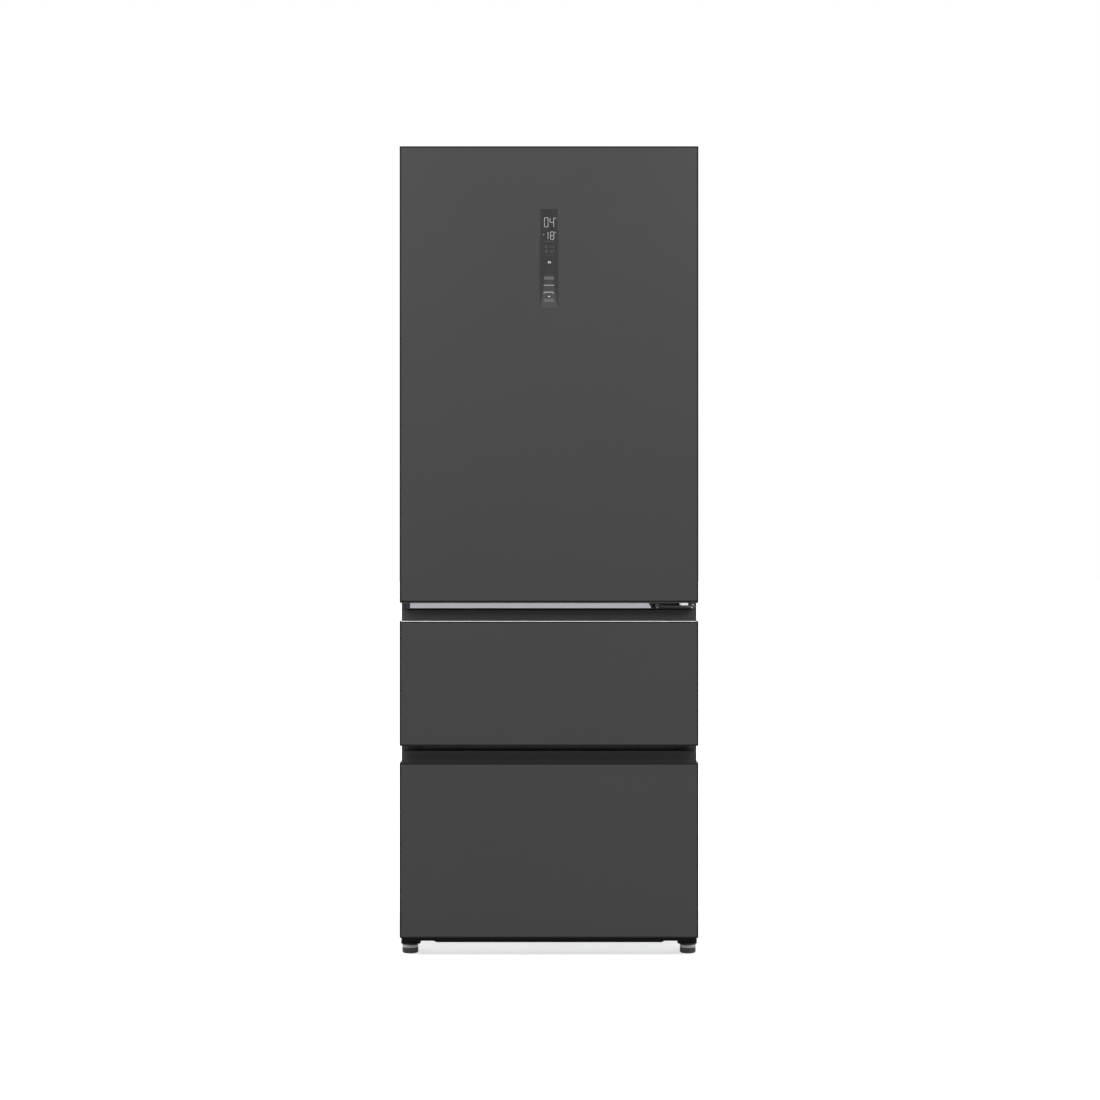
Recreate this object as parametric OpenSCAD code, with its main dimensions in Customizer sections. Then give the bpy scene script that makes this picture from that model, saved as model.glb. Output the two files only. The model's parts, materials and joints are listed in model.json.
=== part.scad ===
// Three-door fridge freezer: a hinged fridge door over two freezer drawers.
// Origin on the floor under the middle of the body, front towards -Y, +Z up, millimetres.

/* [Overall] */
// Width across the cabinet and the fronts
width = 700; // [660:5:740]
// Height from the floor to the top of the door
height = 1900; // [1860:5:1960]
// Depth from the front faces to the back panel
depth = 675; // [665:5:720]
// Height of the cabinet's underside above the floor
base_z = 26; // [25:1:30]
// How far the door stands above the cabinet's top
door_over = 16; // [14:1:20]

/* [Fronts] */
// Height of the lower drawer's front above the floor
front_z = 45; // [43:1:50]
// Height of the lower drawer's front
lower_front_h = 410; // [405:1:414]
// Finger gap above the lower drawer
lower_gap = 40; // [38:1:44]
// Height of the upper drawer's front
upper_front_h = 292.5; // [288:0.5:297]
// Finger gap between the upper drawer and the door
upper_gap = 44.5; // [43:0.5:48]
// Thickness of the door and the drawer fronts
front_t = 60; // [56:1:64]
// Sheet thickness of the front skins
skin_t = 1; // [0.8:0.1:1.2]
// Radius along the edges of the front skins
edge_r = 2.5; // [2:0.25:4]
// Depth of the skins' side returns
return_d = 51.5; // [46:0.5:52]
// Step in from the skin's side to the moulded rear part
rear_inset = 9; // [8:0.5:12]
// Depth of the fold over a front's lip
fold_d = 12; // [9:0.5:13]

/* [Finger grooves] */
// Thickness of the drawer front's lip
lip_t = 14; // [13.5:0.5:16]
// Radius of the groove's floor
groove_r = 11; // [9:0.5:12]
// Height of the groove's back wall above the lip
wall_rise = 26; // [22:0.5:27]
// Lean of the back wall over its height
wall_lean = 6; // [3:0.5:8]
// Height of the moulded groove part below the lip
grip_h = 34; // [30:1:40]
// Set-in of the back wall's ends from the side
wall_end_in = 3; // [2:0.5:6]
// How far the door's rear flange hangs below its front
flange_drop = 16.5; // [12:0.5:17]
// Thickness of the bright strip on the flange
strip_t = 1.5; // [1:0.1:2]
// Width of the bright strip that shows
strip_h = 20; // [16:0.5:22]
// Distance of the strip's left end from the side
strip_in = 22; // [15:1:50]
// Gap between the strip and the middle hinge
strip_gap = 3; // [2.5:0.5:40]
// Slant of the strip's right end
strip_slant = 9; // [0:1:14]

/* [Cabinet] */
// Thickness of the side walls with their foam
wall = 50; // [46:1:54]
// Sheet thickness of the outer shell
shell_t = 1; // [0.8:0.1:1.2]
// Thickness of the plastic liners
liner_t = 2; // [1.5:0.1:2.5]
// Gap between the fronts and the cabinet, filled by the gaskets
gasket_gap = 10; // [9:0.5:11]
// Set-in of the back panel from the shell's rear edges
panel_in = 3; // [2.5:0.5:4]
// Height of the beads pressed into the back panel
bead_h = 2.2; // [1:0.1:2.4]
// Width of the back panel's beads
bead_w = 26; // [20:1:34]
// Insulation above the fridge compartment
roof_t = 50; // [45:1:60]
// Insulation behind the compartments
back_t = 60; // [55:1:65]
// Floor of the lower freezer compartment above the cabinet's underside
floor_t = 69; // [66:1:72]
// Height of the divider between fridge and freezer
divider_h = 75; // [74:1:78]
// How far the divider reaches below the upper drawer's top edge
div_down = 4.5; // [3:0.5:6]
// How far the rail's top lies above the upper drawer's lower edge
rail_over = 19; // [18:0.5:21]
// Height of the rail between the two drawers
rail_h = 75; // [74:1:78]
// Depth of the rail between the two drawers
rail_d = 50; // [40:1:70]
// Radius along the cabinet's edges
shell_r = 3; // [2:0.5:5]

/* [Hinges] */
// Distance of the door's pivot from the cabinet's side
pivot_in = 33; // [32.5:0.5:34]
// Distance of the door's pivot from the front face
pivot_back = 25.5; // [25:0.25:26.5]
// Radius of the hinge pins
pin_r = 5; // [4:0.25:6]
// Running clearance of pins, studs and shafts, on the radius
run_c = 0.05; // [0.02:0.01:0.09]
// Distance of the middle hinge's inner end from the cabinet's side
mid_hinge_in = 106; // [100:1:112]
// Length of the hinge pins inside the door
pin_l = 20; // [14:1:22]
// Thickness of the hinge plates
hinge_t = 4; // [3:0.5:5]
// Radius of the white bush's flange
bush_r = 10.5; // [9:0.5:12]
// Height of the moulded caps at the door's top and foot
cap_h = 38; // [34:1:42]
// Height of the white bush's flange
bush_h = 6; // [5:0.5:6.5]
// Height of the hinge cover on the cabinet
cover_h = 14; // [12:0.5:14]

/* [Gaskets] */
// Width of the door and drawer gaskets
gasket_w = 15; // [12:0.5:15]
// Distance of a gasket from the compartment's edge
gasket_off = 2; // [1:0.5:2]
// Clearance between parts that lie close together
seat_c = 0.3; // [0.2:0.05:0.5]

/* [Display] */
// Width of the display
display_w = 43; // [36:0.5:50]
// Height of the display
display_h = 231; // [200:1:260]
// Distance of the display's top from the door's top
display_top = 148.5; // [120:0.5:180]
// Thickness of the display's lens
lens_t = 3; // [2:0.5:4]

/* [Fridge fittings] */
// Thickness of the shelf glass
glass_t = 4; // [3:0.5:5]
// Height of the shelves' frames
frame_h = 12; // [10:0.5:14]
// Width of the shelves' frames
frame_w = 14; // [12:0.5:18]
// Gap between the shelves and the rear wall
shelf_rear = 27.5; // [24:0.5:45]
// Distance of the shelves' front from the cabinet's front
shelf_in = 117.5; // [112:0.5:125]
// Height of the crisper drawers
crisper_h = 176; // [150:1:190]
// Gap between the crispers and the rear wall
crisper_rear = 87.5; // [80:0.5:110]
// Distance of the crispers' front behind the shelves' front
crisper_in = 30; // [26:1:40]
// Height step between the loose shelves
shelf_step = 190; // [150:5:200]
// Height step between the door bins
bin_step = 235; // [200:5:240]
// Depth of the door bins
bin_d = 108; // [90:1:112]
// Height of the door bins
bin_h = 100; // [80:1:120]
// Wall thickness of bins and drawers
bin_t = 2.5; // [2:0.1:3.5]
// Width of the lamp under the roof
lamp_w = 300; // [200:5:400]
// Depth of the lamp
lamp_d = 48; // [40:1:60]
// Distance of the lamp behind the cabinet's front
lamp_in = 48; // [30:1:90]

/* [Freezer drawers] */
// Gap between the lower bin and the step over the machine room
lower_bin_rear = 13; // [10:0.5:40]
// Gap between the upper bin and the evaporator's cover
upper_bin_rear = 35; // [25:1:80]
// Height of the lower bin
lower_bin_h = 222; // [190:1:224]
// Height of the upper bin
upper_bin_h = 240; // [200:1:250]
// Height of the tray over the lower bin
tray_h = 66; // [50:1:68]
// Gap between the tray and the evaporator's cover
tray_rear = 134; // [110:1:170]
// Height of the upper bin's rim above the middle of its runners
upper_bin_up = 100; // [90:1:108]
// Height of the upper runners above the rail
upper_rail_up = 150; // [142:1:160]
// Height of the lower runners above the compartment's floor
lower_rail_up = 280; // [276:1:284]
// Height of the telescopic runners
runner_h = 45; // [40:1:48]
// Thickness of the telescopic runners over all
runner_w = 13; // [12:0.5:13]
// Sheet thickness of the runners
runner_t = 1.2; // [1:0.1:1.3]
// Ball gap between the runners' members
ball_gap = 0.6; // [0.4:0.1:0.8]
// Gap between the runners and the evaporator's cover
runner_rear = 12; // [8:1:30]

/* [Machine room] */
// Height of the machine room at the rear
room_h = 244; // [235:1:248]
// Depth of the machine room at its roof
room_d = 161; // [158:1:172]
// Slope of the machine room's front wall
room_slope = 75; // [60:1:80]
// Insulation over the machine room
room_foam = 50; // [45:1:54]
// Insulation before the machine room
room_fore = 56; // [50:1:60]
// Radius of the compressor's shell
comp_r = 72; // [66:1:74]
// Height of the compressor's shell
comp_h = 150; // [140:1:154]
// Distance of the compressor from the cabinet's side
comp_in = 175; // [160:1:185]
// Width of the compressor's foot plate
plate_w = 170; // [160:1:172]
// Depth of the compressor's foot plate
plate_d = 124; // [116:1:126]
// Height of the compressor's terminal box
term_h = 40; // [30:1:42]
// Height of the rubber grommets
grommet_h = 16; // [12:1:18]
// Width of the drip tray
pan_w = 200; // [180:1:204]
// Depth of the drip tray
pan_d = 132; // [110:1:134]
// Height of the drip tray
pan_h = 34; // [24:1:36]
// Radius of the refrigerant tubes
tube_r = 3; // [2.5:0.25:3.5]
// Number of runs in the condenser
coil_n = 10; // [6:2:10]
// Distance between the condenser's runs
coil_step = 20; // [18:1:20]
// Length of the condenser's runs
coil_l = 250; // [200:5:260]

/* [Feet and rollers] */
// Radius of the levelling feet
foot_r = 19; // [16:0.5:19]
// Height of a levelling foot's knob
foot_h = 21; // [20:0.5:22]
// Height of the smooth band on a levelling foot
band_h = 7.3; // [6:0.1:9]
// Number of flutes round a foot
flute_n = 24; // [16:2:32]
// Distance of the feet from the cabinet's side
foot_in = 21; // [20.5:0.5:26]
// Radius of the rear rollers
roller_r = 12; // [10:0.5:12]
// Width of the rear rollers
roller_w = 18; // [14:1:20]
// Radius of the feet's studs and the rollers' axles
stud_r = 4; // [3:0.5:5]

/* [Evaporator] */
// Radius of the evaporator's fan
fan_r = 44; // [36:1:46]
// Number of fan blades
blade_n = 5; // [4:1:7]
// Width of the evaporator's stack of fins
evap_w = 440; // [380:5:470]
// Height of the evaporator
evap_h = 250; // [230:1:260]
// Number of evaporator fins
fin_n = 14; // [8:1:18]
// Distance of the evaporator cover from the rear wall
cover_d = 70; // [66:1:72]

/* [Hidden] */
$fn = 48;

// Planes across the depth
yf = -depth / 2;
yd = yf + front_t;
yc = yd + gasket_gap;
yb = depth / 2;
yw = yb - back_t;
ye = yw - cover_d;
yp = yb - panel_in;
// Planes across the width
xs = width / 2;
xi = xs - wall;
// Heights of the fronts
zl0 = front_z;
zl1 = zl0 + lower_front_h;
zu0 = zl1 + lower_gap;
zu1 = zu0 + upper_front_h;
zd0 = zu1 + upper_gap;
zd1 = height;
// Heights of the cabinet and its compartments
zt = height - door_over;
low0 = base_z + floor_t;
rail1 = zu0 + rail_over;
rail0 = rail1 - rail_h;
div0 = zu1 - div_down;
div1 = div0 + divider_h;
top1 = zt - roof_t;
// Machine room
room1 = base_z + room_h;
room_y = yb - room_d;
room_y0 = room_y - room_slope;
hump_z = room1 + room_foam;
hump_y = room_y - room_fore;
hump_y0 = hump_y - room_slope;
// Hinge axis
px = xs - pivot_in;
py = yf + pivot_back;
rim_h = 2.3;
bush_gap = 0.6;
mid_z = zd0 - rim_h - bush_gap - bush_h - hinge_t;
bush_z = mid_z + hinge_t + seat_c;
hub_z = zt + hinge_t;
notch_z = zt - 4;
// Pull channel in the door's foot
channel_t = 27;
channel_up = 20;
strip_left = xs - strip_in;
strip_right = xs - mid_hinge_in - strip_gap;
comp_x = xs - comp_in;
// Colours
c_front = [0.28, 0.28, 0.28];
c_black = [0.07, 0.07, 0.07];
c_white = [0.93, 0.94, 0.95];
c_grey = [0.62, 0.63, 0.65];
c_steel = [0.72, 0.73, 0.75];
c_foam = [0.93, 0.87, 0.66];
c_clear = [0.78, 0.86, 0.9];
c_rubber = [0.2, 0.2, 0.21];

// Points of an arc round a centre, from angle a0 to a1
function arc(u, v, r, a0, a1) = [
  for (i = [0:6]) [u + r * cos(a0 + (a1 - a0) * i / 6), v + r * sin(a0 + (a1 - a0) * i / 6)]
];

// A box between two corners
module slab(x0, x1, y0, y1, z0, z1) {
  translate([x0, y0, z0]) cube([x1 - x0, y1 - y0, z1 - z0]);
}

// The shape and its mirror image left and right
module both_sides() {
  children();
  mirror([1, 0, 0]) children();
}

// A flat outline in Y and Z, drawn out along X
module along_x(x0, x1) {
  translate([x0, 0, 0]) rotate([90, 0, 90]) linear_extrude(x1 - x0) children();
}

// A flat outline in X and Z, drawn out along Y
module along_y(y0, y1) {
  translate([0, y1, 0]) rotate([90, 0, 0]) linear_extrude(y1 - y0) children();
}

// A rectangle with four round corners
module round_rect(x0, x1, y0, y1, r) {
  translate([x0 + r, y0]) square([x1 - x0 - 2 * r, y1 - y0]);
  translate([x0, y0 + r]) square([x1 - x0, y1 - y0 - 2 * r]);
  for (x = [x0 + r, x1 - r], y = [y0 + r, y1 - r]) translate([x, y]) circle(r);
}

// A ring between two rectangles with round corners
module ring_rect(x, z0, z1, w, r) {
  difference() {
    round_rect(-x, x, z0, z1, r);
    round_rect(-x + w, x - w, z0 + w, z1 - w, max(r - w, 1));
  }
}

// A block whose four edges round the front face are rounded
module round_front(x, y0, y1, z0, z1, r) {
  intersection() {
    translate([0, 0, z0]) linear_extrude(z1 - z0) union() {
      round_rect(-x, x, y0, y0 + 3 * r, r);
      translate([-x, y0 + r]) square([2 * x, y1 - y0 - r]);
    }
    along_x(-x, x) union() {
      round_rect(y0, y0 + 3 * r, z0, z1, r);
      translate([y0 + r, z0]) square([y1 - y0 - r, z1 - z0]);
    }
  }
}

// What fits inside a front skin, with flat chamfers behind the skin's round edges; lined leaves room
// for a lining behind the side returns
module inside_skin(y1, z0, z1, c_low, c_high, lined = 0) {
  x = xs - skin_t;
  y0 = yf + skin_t;
  c = edge_r;
  xr = xs - rear_inset - lined;
  yr = yf + return_d - lined;
  intersection() {
    translate([0, 0, z0 - 1]) linear_extrude(z1 - z0 + 2) polygon([
      [-x + c, y0], [x - c, y0], [x, y0 + c], [x, yr], [xr, yr], [xr, y1],
      [-xr, y1], [-xr, yr], [-x, yr], [-x, y0 + c]
    ]);
    along_x(-x - 1, x + 1) polygon([
      [y0, z0 + c_low], [y0 + c_low, z0], [y1, z0], [y1, z1], [y0 + c_high, z1], [y0, z1 - c_high]
    ]);
  }
}

// A steel skin folded back at its sides and over its lips
module front_skin(z0, z1, open_foot) {
  yr = yf + return_d;
  difference() {
    round_front(xs, yf, yr, z0, z1, edge_r);
    round_front(xs - skin_t, yf + skin_t, yr + 1, z0 + skin_t, z1 - skin_t, edge_r - skin_t);
    slab(-xs + skin_t, xs - skin_t, yf + fold_d, yr + 1, z1 - 2 * skin_t, z1 + 1);
    if (open_foot) slab(-xs + skin_t, xs - skin_t, yf + fold_d, yr + 1, z0 - 1, z0 + 2 * skin_t);
  }
}

// Section of a drawer's moulded groove, from under the lip to the back wall
module groove_section(z1) {
  g0 = yf + lip_t;
  g1 = g0 + 2 * groove_r;
  top_r = 3;
  y1 = yd;
  difference() {
    polygon(concat(
      [
        [yf + skin_t, z1 - grip_h], [yf + skin_t, z1 - skin_t - edge_r],
        [yf + skin_t + edge_r, z1 - skin_t], [yf + fold_d, z1 - skin_t], [yf + fold_d, z1],
        [g0, z1], [g0, z1 - groove_r], [g1, z1 - groove_r]
      ],
      arc(g1 + wall_lean + top_r, z1 + wall_rise - top_r, top_r, 180, 90),
      arc(y1 - top_r, z1 + wall_rise - top_r, top_r, 90, 0),
      [[y1, z1 - grip_h]]
    ));
    translate([g0 + groove_r, z1 - groove_r]) circle(groove_r);
  }
}

// The moulded groove along the top of a drawer front
module drawer_grip(z1) {
  difference() {
    intersection() {
      along_x(-xs, xs) groove_section(z1);
      inside_skin(yd, z1 - grip_h, z1 + wall_rise + 1, 0, 0);
    }
    for (s = [-1, 1]) translate([s * (xs - wall_end_in + 10), yf + front_t / 2, z1 + wall_rise / 2 + 0.5])
      cube([20, front_t + 2, wall_rise + 1], center = true);
  }
}

// Foamed inner panel of a drawer front
module drawer_panel(z0, z1) {
  inside_skin(yd, z0 + skin_t, z1 - grip_h, edge_r, 0);
}

// Magnetic gasket round an opening, a base, a neck and a soft bulb
module gasket(z0, z1) {
  x = xi + gasket_off + gasket_w;
  a = z0 - gasket_off - gasket_w;
  b = z1 + gasket_off + gasket_w;
  y0 = yd;
  y1 = yc - seat_c;
  h = (y1 - y0) / 4;
  along_y(y0, y0 + h) ring_rect(x, a, b, gasket_w, 6);
  along_y(y0 + h, y0 + 2 * h) ring_rect(x - 4, a + 4, b - 4, gasket_w - 8, 4);
  along_y(y0 + 2 * h, y1) ring_rect(x - 1, a + 1, b - 1, gasket_w - 2, 6);
}

// A solid with drawn-in lower edges, the form of a bin inside or out
module bin_form(x, y0, y1, z0, z1, draft, r) {
  hull() {
    translate([0, 0, z0]) linear_extrude(0.01)
      round_rect(-x + draft, x - draft, y0 + draft, y1 - draft, r, $fn = 32);
    translate([0, 0, z1 - 0.01]) linear_extrude(0.01) round_rect(-x, x, y0, y1, r, $fn = 32);
  }
}

// An open bin with a turned-out rim
module bin(x, y0, y1, z0, z1, draft, r, rim) {
  difference() {
    bin_form(x, y0, y1, z0, z1, draft, r);
    bin_form(x - bin_t, y0 + bin_t, y1 - bin_t, z0 + bin_t, z1 + 1, draft, r - bin_t);
  }
  translate([0, 0, z1 - bin_t]) linear_extrude(bin_t) difference() {
    round_rect(-x - rim, x + rim, y0, y1, r);
    round_rect(-x + bin_t, x - bin_t, y0 + bin_t, y1 - bin_t, r - bin_t);
  }
}

// One C-shaped runner member, its web outwards, between two half heights
module channel(x0, x1, web_x, half, y0, y1, zc) {
  slab(x0, x1, y0, y1, zc + half - runner_t, zc + half);
  slab(x0, x1, y0, y1, zc - half, zc - half + runner_t);
  slab(web_x, web_x + runner_t, y0, y1, zc - half, zc + half);
}

runner_x = xi - runner_w;
fixed_half = runner_h / 2;
middle_half = fixed_half - runner_t - ball_gap;
inner_half = middle_half - runner_t - ball_gap;
middle_x = xi - 2 * runner_t - ball_gap;
runner_y0 = yc + 8;
runner_y1 = ye - runner_rear;
upper_rail_z = rail1 + upper_rail_up;
lower_rail_z = low0 + lower_rail_up;
upper_bin_y1 = ye - upper_bin_rear;
lower_bin_y1 = hump_y0 - lower_bin_rear;
tray_y1 = ye - tray_rear;

module fixed_rails(zc) {
  both_sides() channel(runner_x + 2.4, xi, xi - runner_t, fixed_half, runner_y0, runner_y1, zc);
}

module middle_rails(zc) {
  both_sides() channel(
    runner_x + 2, middle_x + runner_t, middle_x, middle_half, runner_y0 + 2, runner_y1 - 4, zc
  );
}

// Inner runner members with the side plates that join front and bin
module inner_rails(zc, plate_z0, plate_z1, lip_z) {
  both_sides() {
    channel(runner_x, middle_x - ball_gap, runner_x, inner_half, runner_y0, runner_y1 - 10, zc);
    slab(runner_x - 1.5, runner_x, yd, runner_y1 - 10, plate_z0, plate_z1);
    slab(runner_x - 18, runner_x, yd, yd + 2, plate_z0, plate_z1);
    if (lip_z > 0) slab(runner_x - 14, runner_x, yd, lower_bin_y1 - 10, lip_z - 2, lip_z);
  }
}

module outer_shell() {
  color(c_front) difference() {
    intersection() {
      translate([0, 0, base_z]) linear_extrude(zt - base_z)
        union() {
          round_rect(-xs, xs, yc, yc + 3 * shell_r, shell_r);
          translate([-xs, yc + shell_r]) square([width, yb - yc - shell_r]);
        }
      along_y(yc, yb) union() {
        round_rect(-xs, xs, zt - 3 * shell_r, zt, shell_r);
        translate([-xs, base_z]) square([width, zt - base_z - shell_r]);
      }
    }
    slab(-xs + shell_t, xs - shell_t, yc + shell_t, yb + 1, base_z - 1, zt - shell_t);
    slab(-xi, xi, yc - 1, yc + 2, div1, top1);
    slab(-xi, xi, yc - 1, yc + 2, low0, div0);
  }
}

bead_pitch = xs * 0.55;
bead_end = 70;

// A pressed bead on the back panel, all four edges sloped
module bead(x, z0, z1) {
  x0 = x - bead_w / 2;
  x1 = x + bead_w / 2;
  run = 2 * bead_h;
  root = yp - shell_t / 2;
  crest = yp + bead_h;
  intersection() {
    along_x(x0, x1) polygon([[root, z0], [yp, z0], [crest, z0 + run], [crest, z1 - run], [yp, z1], [root, z1]]);
    translate([0, 0, z0]) linear_extrude(z1 - z0)
      polygon([[x0, root], [x1, root], [x1, yp], [x1 - run, crest], [x0 + run, crest], [x0, yp]]);
  }
}

module back_panel() {
  color(c_grey) {
    slab(-xs + shell_t, xs - shell_t, yp - shell_t, yp, room1, zt - shell_t);
    for (s = [-1, 0, 1]) bead(s * bead_pitch, room1 + bead_end, zt - bead_end);
  }
}

// Bottom sheet with the bent wall and roof of the machine room
module base_pan() {
  t = 2;
  color(c_steel) along_x(-xs + shell_t, xs - shell_t) {
    polygon([
      [yc + shell_t, base_z], [yb, base_z], [yb, base_z + t], [room_y0 + t, base_z + t],
      [room_y + t, room1 - t], [yb, room1 - t], [yb, room1], [room_y, room1],
      [room_y0, base_z + t], [yc + shell_t, base_z + t]
    ]);
  }
}

// Insulation foamed between the shell, the liners and the base
module cabinet_foam() {
  x = xs - shell_t;
  color(c_foam) difference() {
    along_x(-x, x) polygon([
      [yc + shell_t, base_z + 2], [room_y0, base_z + 2], [room_y, room1], [yp - shell_t, room1],
      [yp - shell_t, zt - shell_t], [yc + shell_t, zt - shell_t]
    ]);
    for (s = [-1, 1]) translate([s * x, 0, zt - shell_t]) rotate([0, 45, 0])
      cube([3, 2 * depth, 3], center = true);
    for (s = [-1, 1]) translate([s * x, yc + shell_t, 0]) rotate([0, 0, 45])
      cube([3, 3, 3 * height], center = true);
    slab(-xi - liner_t, xi + liner_t, yc, yw + liner_t, div1 - liner_t, top1 + liner_t);
    freezer_space(liner_t);
  }
}

// Space of the freezer, stepped over the machine room, grown by a wall
module freezer_space(g) {
  along_x(-xi - g, xi + g) polygon([
    [yc, low0 - g], [hump_y0 + g / 2, low0 - g], [hump_y + g / 2, hump_z - g], [yw + g, hump_z - g],
    [yw + g, div0 + g], [yc, div0 + g]
  ]);
}

ledge_w = 8;
ledge_h = 6;
shelf_y0 = yc + shelf_in;
shelf_y1 = yw - shelf_rear;
crisper_y1 = yw - crisper_rear;
crisper_z0 = div1 + ledge_h;
cover_shelf_z = crisper_z0 + crisper_h + 4;
shelf_n = floor((top1 - cover_shelf_z - 2 * frame_h - 10) / shelf_step);
shelf_z = [for (i = [0:shelf_n]) cover_shelf_z + (i == 0 ? 0 : 10) + i * shelf_step];

module fridge_liner() {
  color(c_white) {
    difference() {
      slab(-xi - liner_t, xi + liner_t, yc + shell_t, yw + liner_t, div1 - liner_t, top1 + liner_t);
      slab(-xi, xi, yc, yw, div1, top1);
    }
    both_sides() for (z = shelf_z) slab(xi - ledge_w, xi, shelf_y0 + 6, shelf_y1, z - ledge_h, z);
    for (x = [-xi + 20, -24, 14, xi - 30])
      slab(x, x + 10, shelf_y0 + crisper_in + 8, crisper_y1, div1, crisper_z0);
  }
}

module freezer_liner() {
  color(c_white) difference() {
    intersection() {
      freezer_space(liner_t);
      slab(-xs, xs, yc + shell_t, yb, 0, zt);
    }
    freezer_space(0);
  }
}

module crossrail() {
  slot = 4;
  slot_edge = 8;
  slot_end = 30;
  slot_front = 12;
  color(c_black) difference() {
    slab(-xi, xi, yc, yc + rail_d, rail0, rail1);
    for (z = [rail0 + slot_edge, rail1 - slot_edge - slot])
      slab(-xi + slot_end, xi - slot_end, yc + slot_front, yc + rail_d + 1, z, z + slot);
  }
}

module plinth() {
  x = xs - foot_in - foot_r - foot_beside;
  top = front_z - 0.5;
  end_z = base_z + 2;
  end_w = 30;
  slope = 8;
  foot = base_z - 2;
  color(c_black) along_y(yd + 2.5, yc) polygon([
    [-x, top], [-x, end_z], [-x + end_w, end_z], [-x + end_w + slope, foot],
    [x - end_w - slope, foot], [x - end_w, end_z], [x, end_z], [x, top]
  ]);
}

foot_x = xs - foot_in;
foot_y = yc - stud_r - 1;
foot_beside = 5;
fork_gap = 2;
roller_x = xs - 50;
roller_y = yb - 52;

// Front foot brackets and rear roller forks under the cabinet
module base_brackets() {
  x0 = foot_x - foot_r - foot_beside;
  before = 6;
  behind = 40;
  fork_t = 3;
  fork_d = stud_r + 5;
  flange = 14;
  color(c_black) both_sides() {
    difference() {
      union() {
        slab(x0, xs, foot_y - stud_r - before, yc, foot_h + 1, front_z - 0.5);
        slab(x0, xs, yc, yc + behind, foot_h + 1, base_z);
      }
      translate([foot_x, foot_y, 0]) cylinder(r = stud_r + run_c, h = front_z + 1);
    }
    for (s = [-1, 1]) translate([roller_x + s * (roller_w / 2 + fork_gap), roller_y, 0]) {
      slab(-fork_t / 2, fork_t / 2, -fork_d, fork_d, roller_r - stud_r - 2, base_z);
      slab(s > 0 ? 0 : -flange, s > 0 ? flange : 0, -fork_d, fork_d, base_z - 2, base_z);
    }
    translate([roller_x - roller_w / 2 - fork_gap, roller_y, roller_r]) rotate([0, 90, 0])
      cylinder(r = stud_r, h = roller_w + 2 * fork_gap);
  }
}

module foot() {
  pad = 1.7;
  pad_bevel = 1.5;
  flute_r = 1.4;
  flute_out = 0.5;
  land = 0.8;
  collar = 4;
  band_z = foot_h - 1 - band_h;
  color(c_black) translate([foot_x, foot_y, 0]) {
    difference() {
      union() {
        cylinder(r1 = foot_r - pad_bevel, r2 = foot_r, h = pad);
        translate([0, 0, pad]) cylinder(r = foot_r, h = foot_h - 1 - pad);
      }
      for (i = [0:flute_n - 1]) rotate([0, 0, i * 360 / flute_n])
        translate([foot_r + flute_out, 0, pad + land])
          cylinder(r = flute_r, h = band_z - pad - 2 * land);
    }
    translate([0, 0, foot_h - 2]) cylinder(r = stud_r + collar, h = 2);
    translate([0, 0, foot_h - 1]) cylinder(r = stud_r, h = front_z - foot_h - 1);
  }
}

module left_foot() {
  mirror([1, 0, 0]) foot();
}

module right_foot() {
  foot();
}

module roller() {
  color(c_rubber) translate([roller_x, roller_y, roller_r]) rotate([0, 90, 0])
    rotate_extrude() polygon([
      [stud_r + run_c, -roller_w / 2], [roller_r - 1, -roller_w / 2], [roller_r, -roller_w / 2 + 1],
      [roller_r, roller_w / 2 - 1], [roller_r - 1, roller_w / 2], [stud_r + run_c, roller_w / 2]
    ]);
}

module left_roller() {
  mirror([1, 0, 0]) roller();
}

module right_roller() {
  roller();
}

screw_r = 3;
screw_c = 0.1;
screw_in = 12;
mid_screws = [xs - mid_hinge_in + screw_in, xs - screw_in];
top_screws = [[px - 60, yc + 22], [px - 20, yc + 48], [px - 60, yc + 48]];

// Middle hinge: a plate out from the cabinet's front with an upright pin
module mid_hinge() {
  x0 = xs - mid_hinge_in;
  x1 = xs - 4;
  z = mid_z;
  hub = 12;
  inner_d = 18;
  outer_d = 26;
  flange_t = 3;
  flange_z0 = zu1 + 16;
  color(c_black) {
    difference() {
      linear_extrude_plate(z, hinge_t) union() {
        polygon([
          [x0, yc], [x0, yc - inner_d], [px - 14, py - 9], [px, py - hub], [px + 8, py - 9],
          [px + 10, py], [x1, yc - outer_d], [x1, yc]
        ]);
        translate([px, py]) circle(hub);
      }
      for (x = mid_screws) translate([x, yc - screw_in, z - 1])
        cylinder(r = screw_r + screw_c, h = hinge_t + 2);
    }
    slab(x0, x1, yc - flange_t, yc, flange_z0, zd0 - rim_h - 1);
    translate([px, py, z]) cylinder(r = pin_r, h = zd0 + pin_l - z - 2);
  }
}

module linear_extrude_plate(z, t) {
  translate([0, 0, z]) linear_extrude(t) children();
}

// Top hinge: a plate on the cabinet's roof with an arm and a pin pointing down
module top_hinge() {
  x0 = px - 80;
  x1 = xs - 8;
  leaf_d = 60;
  arm_in = 14;
  arm_w = 20;
  hub = 10;
  hub_in = 4;
  color(c_steel) {
    difference() {
      linear_extrude_plate(zt, hinge_t) union() {
        translate([x0, yc + 4]) square([x1 - x0, leaf_d]);
        translate([px - arm_in, py]) square([arm_w, yc - py + 5]);
        translate([px - hub_in, py]) circle(hub);
      }
      for (p = top_screws) translate([p[0], p[1], zt - 1])
        cylinder(r = screw_r + screw_c, h = hinge_t + 2);
    }
    translate([px, py, zt - pin_l]) cylinder(r = pin_r, h = pin_l + 1);
  }
}

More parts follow.
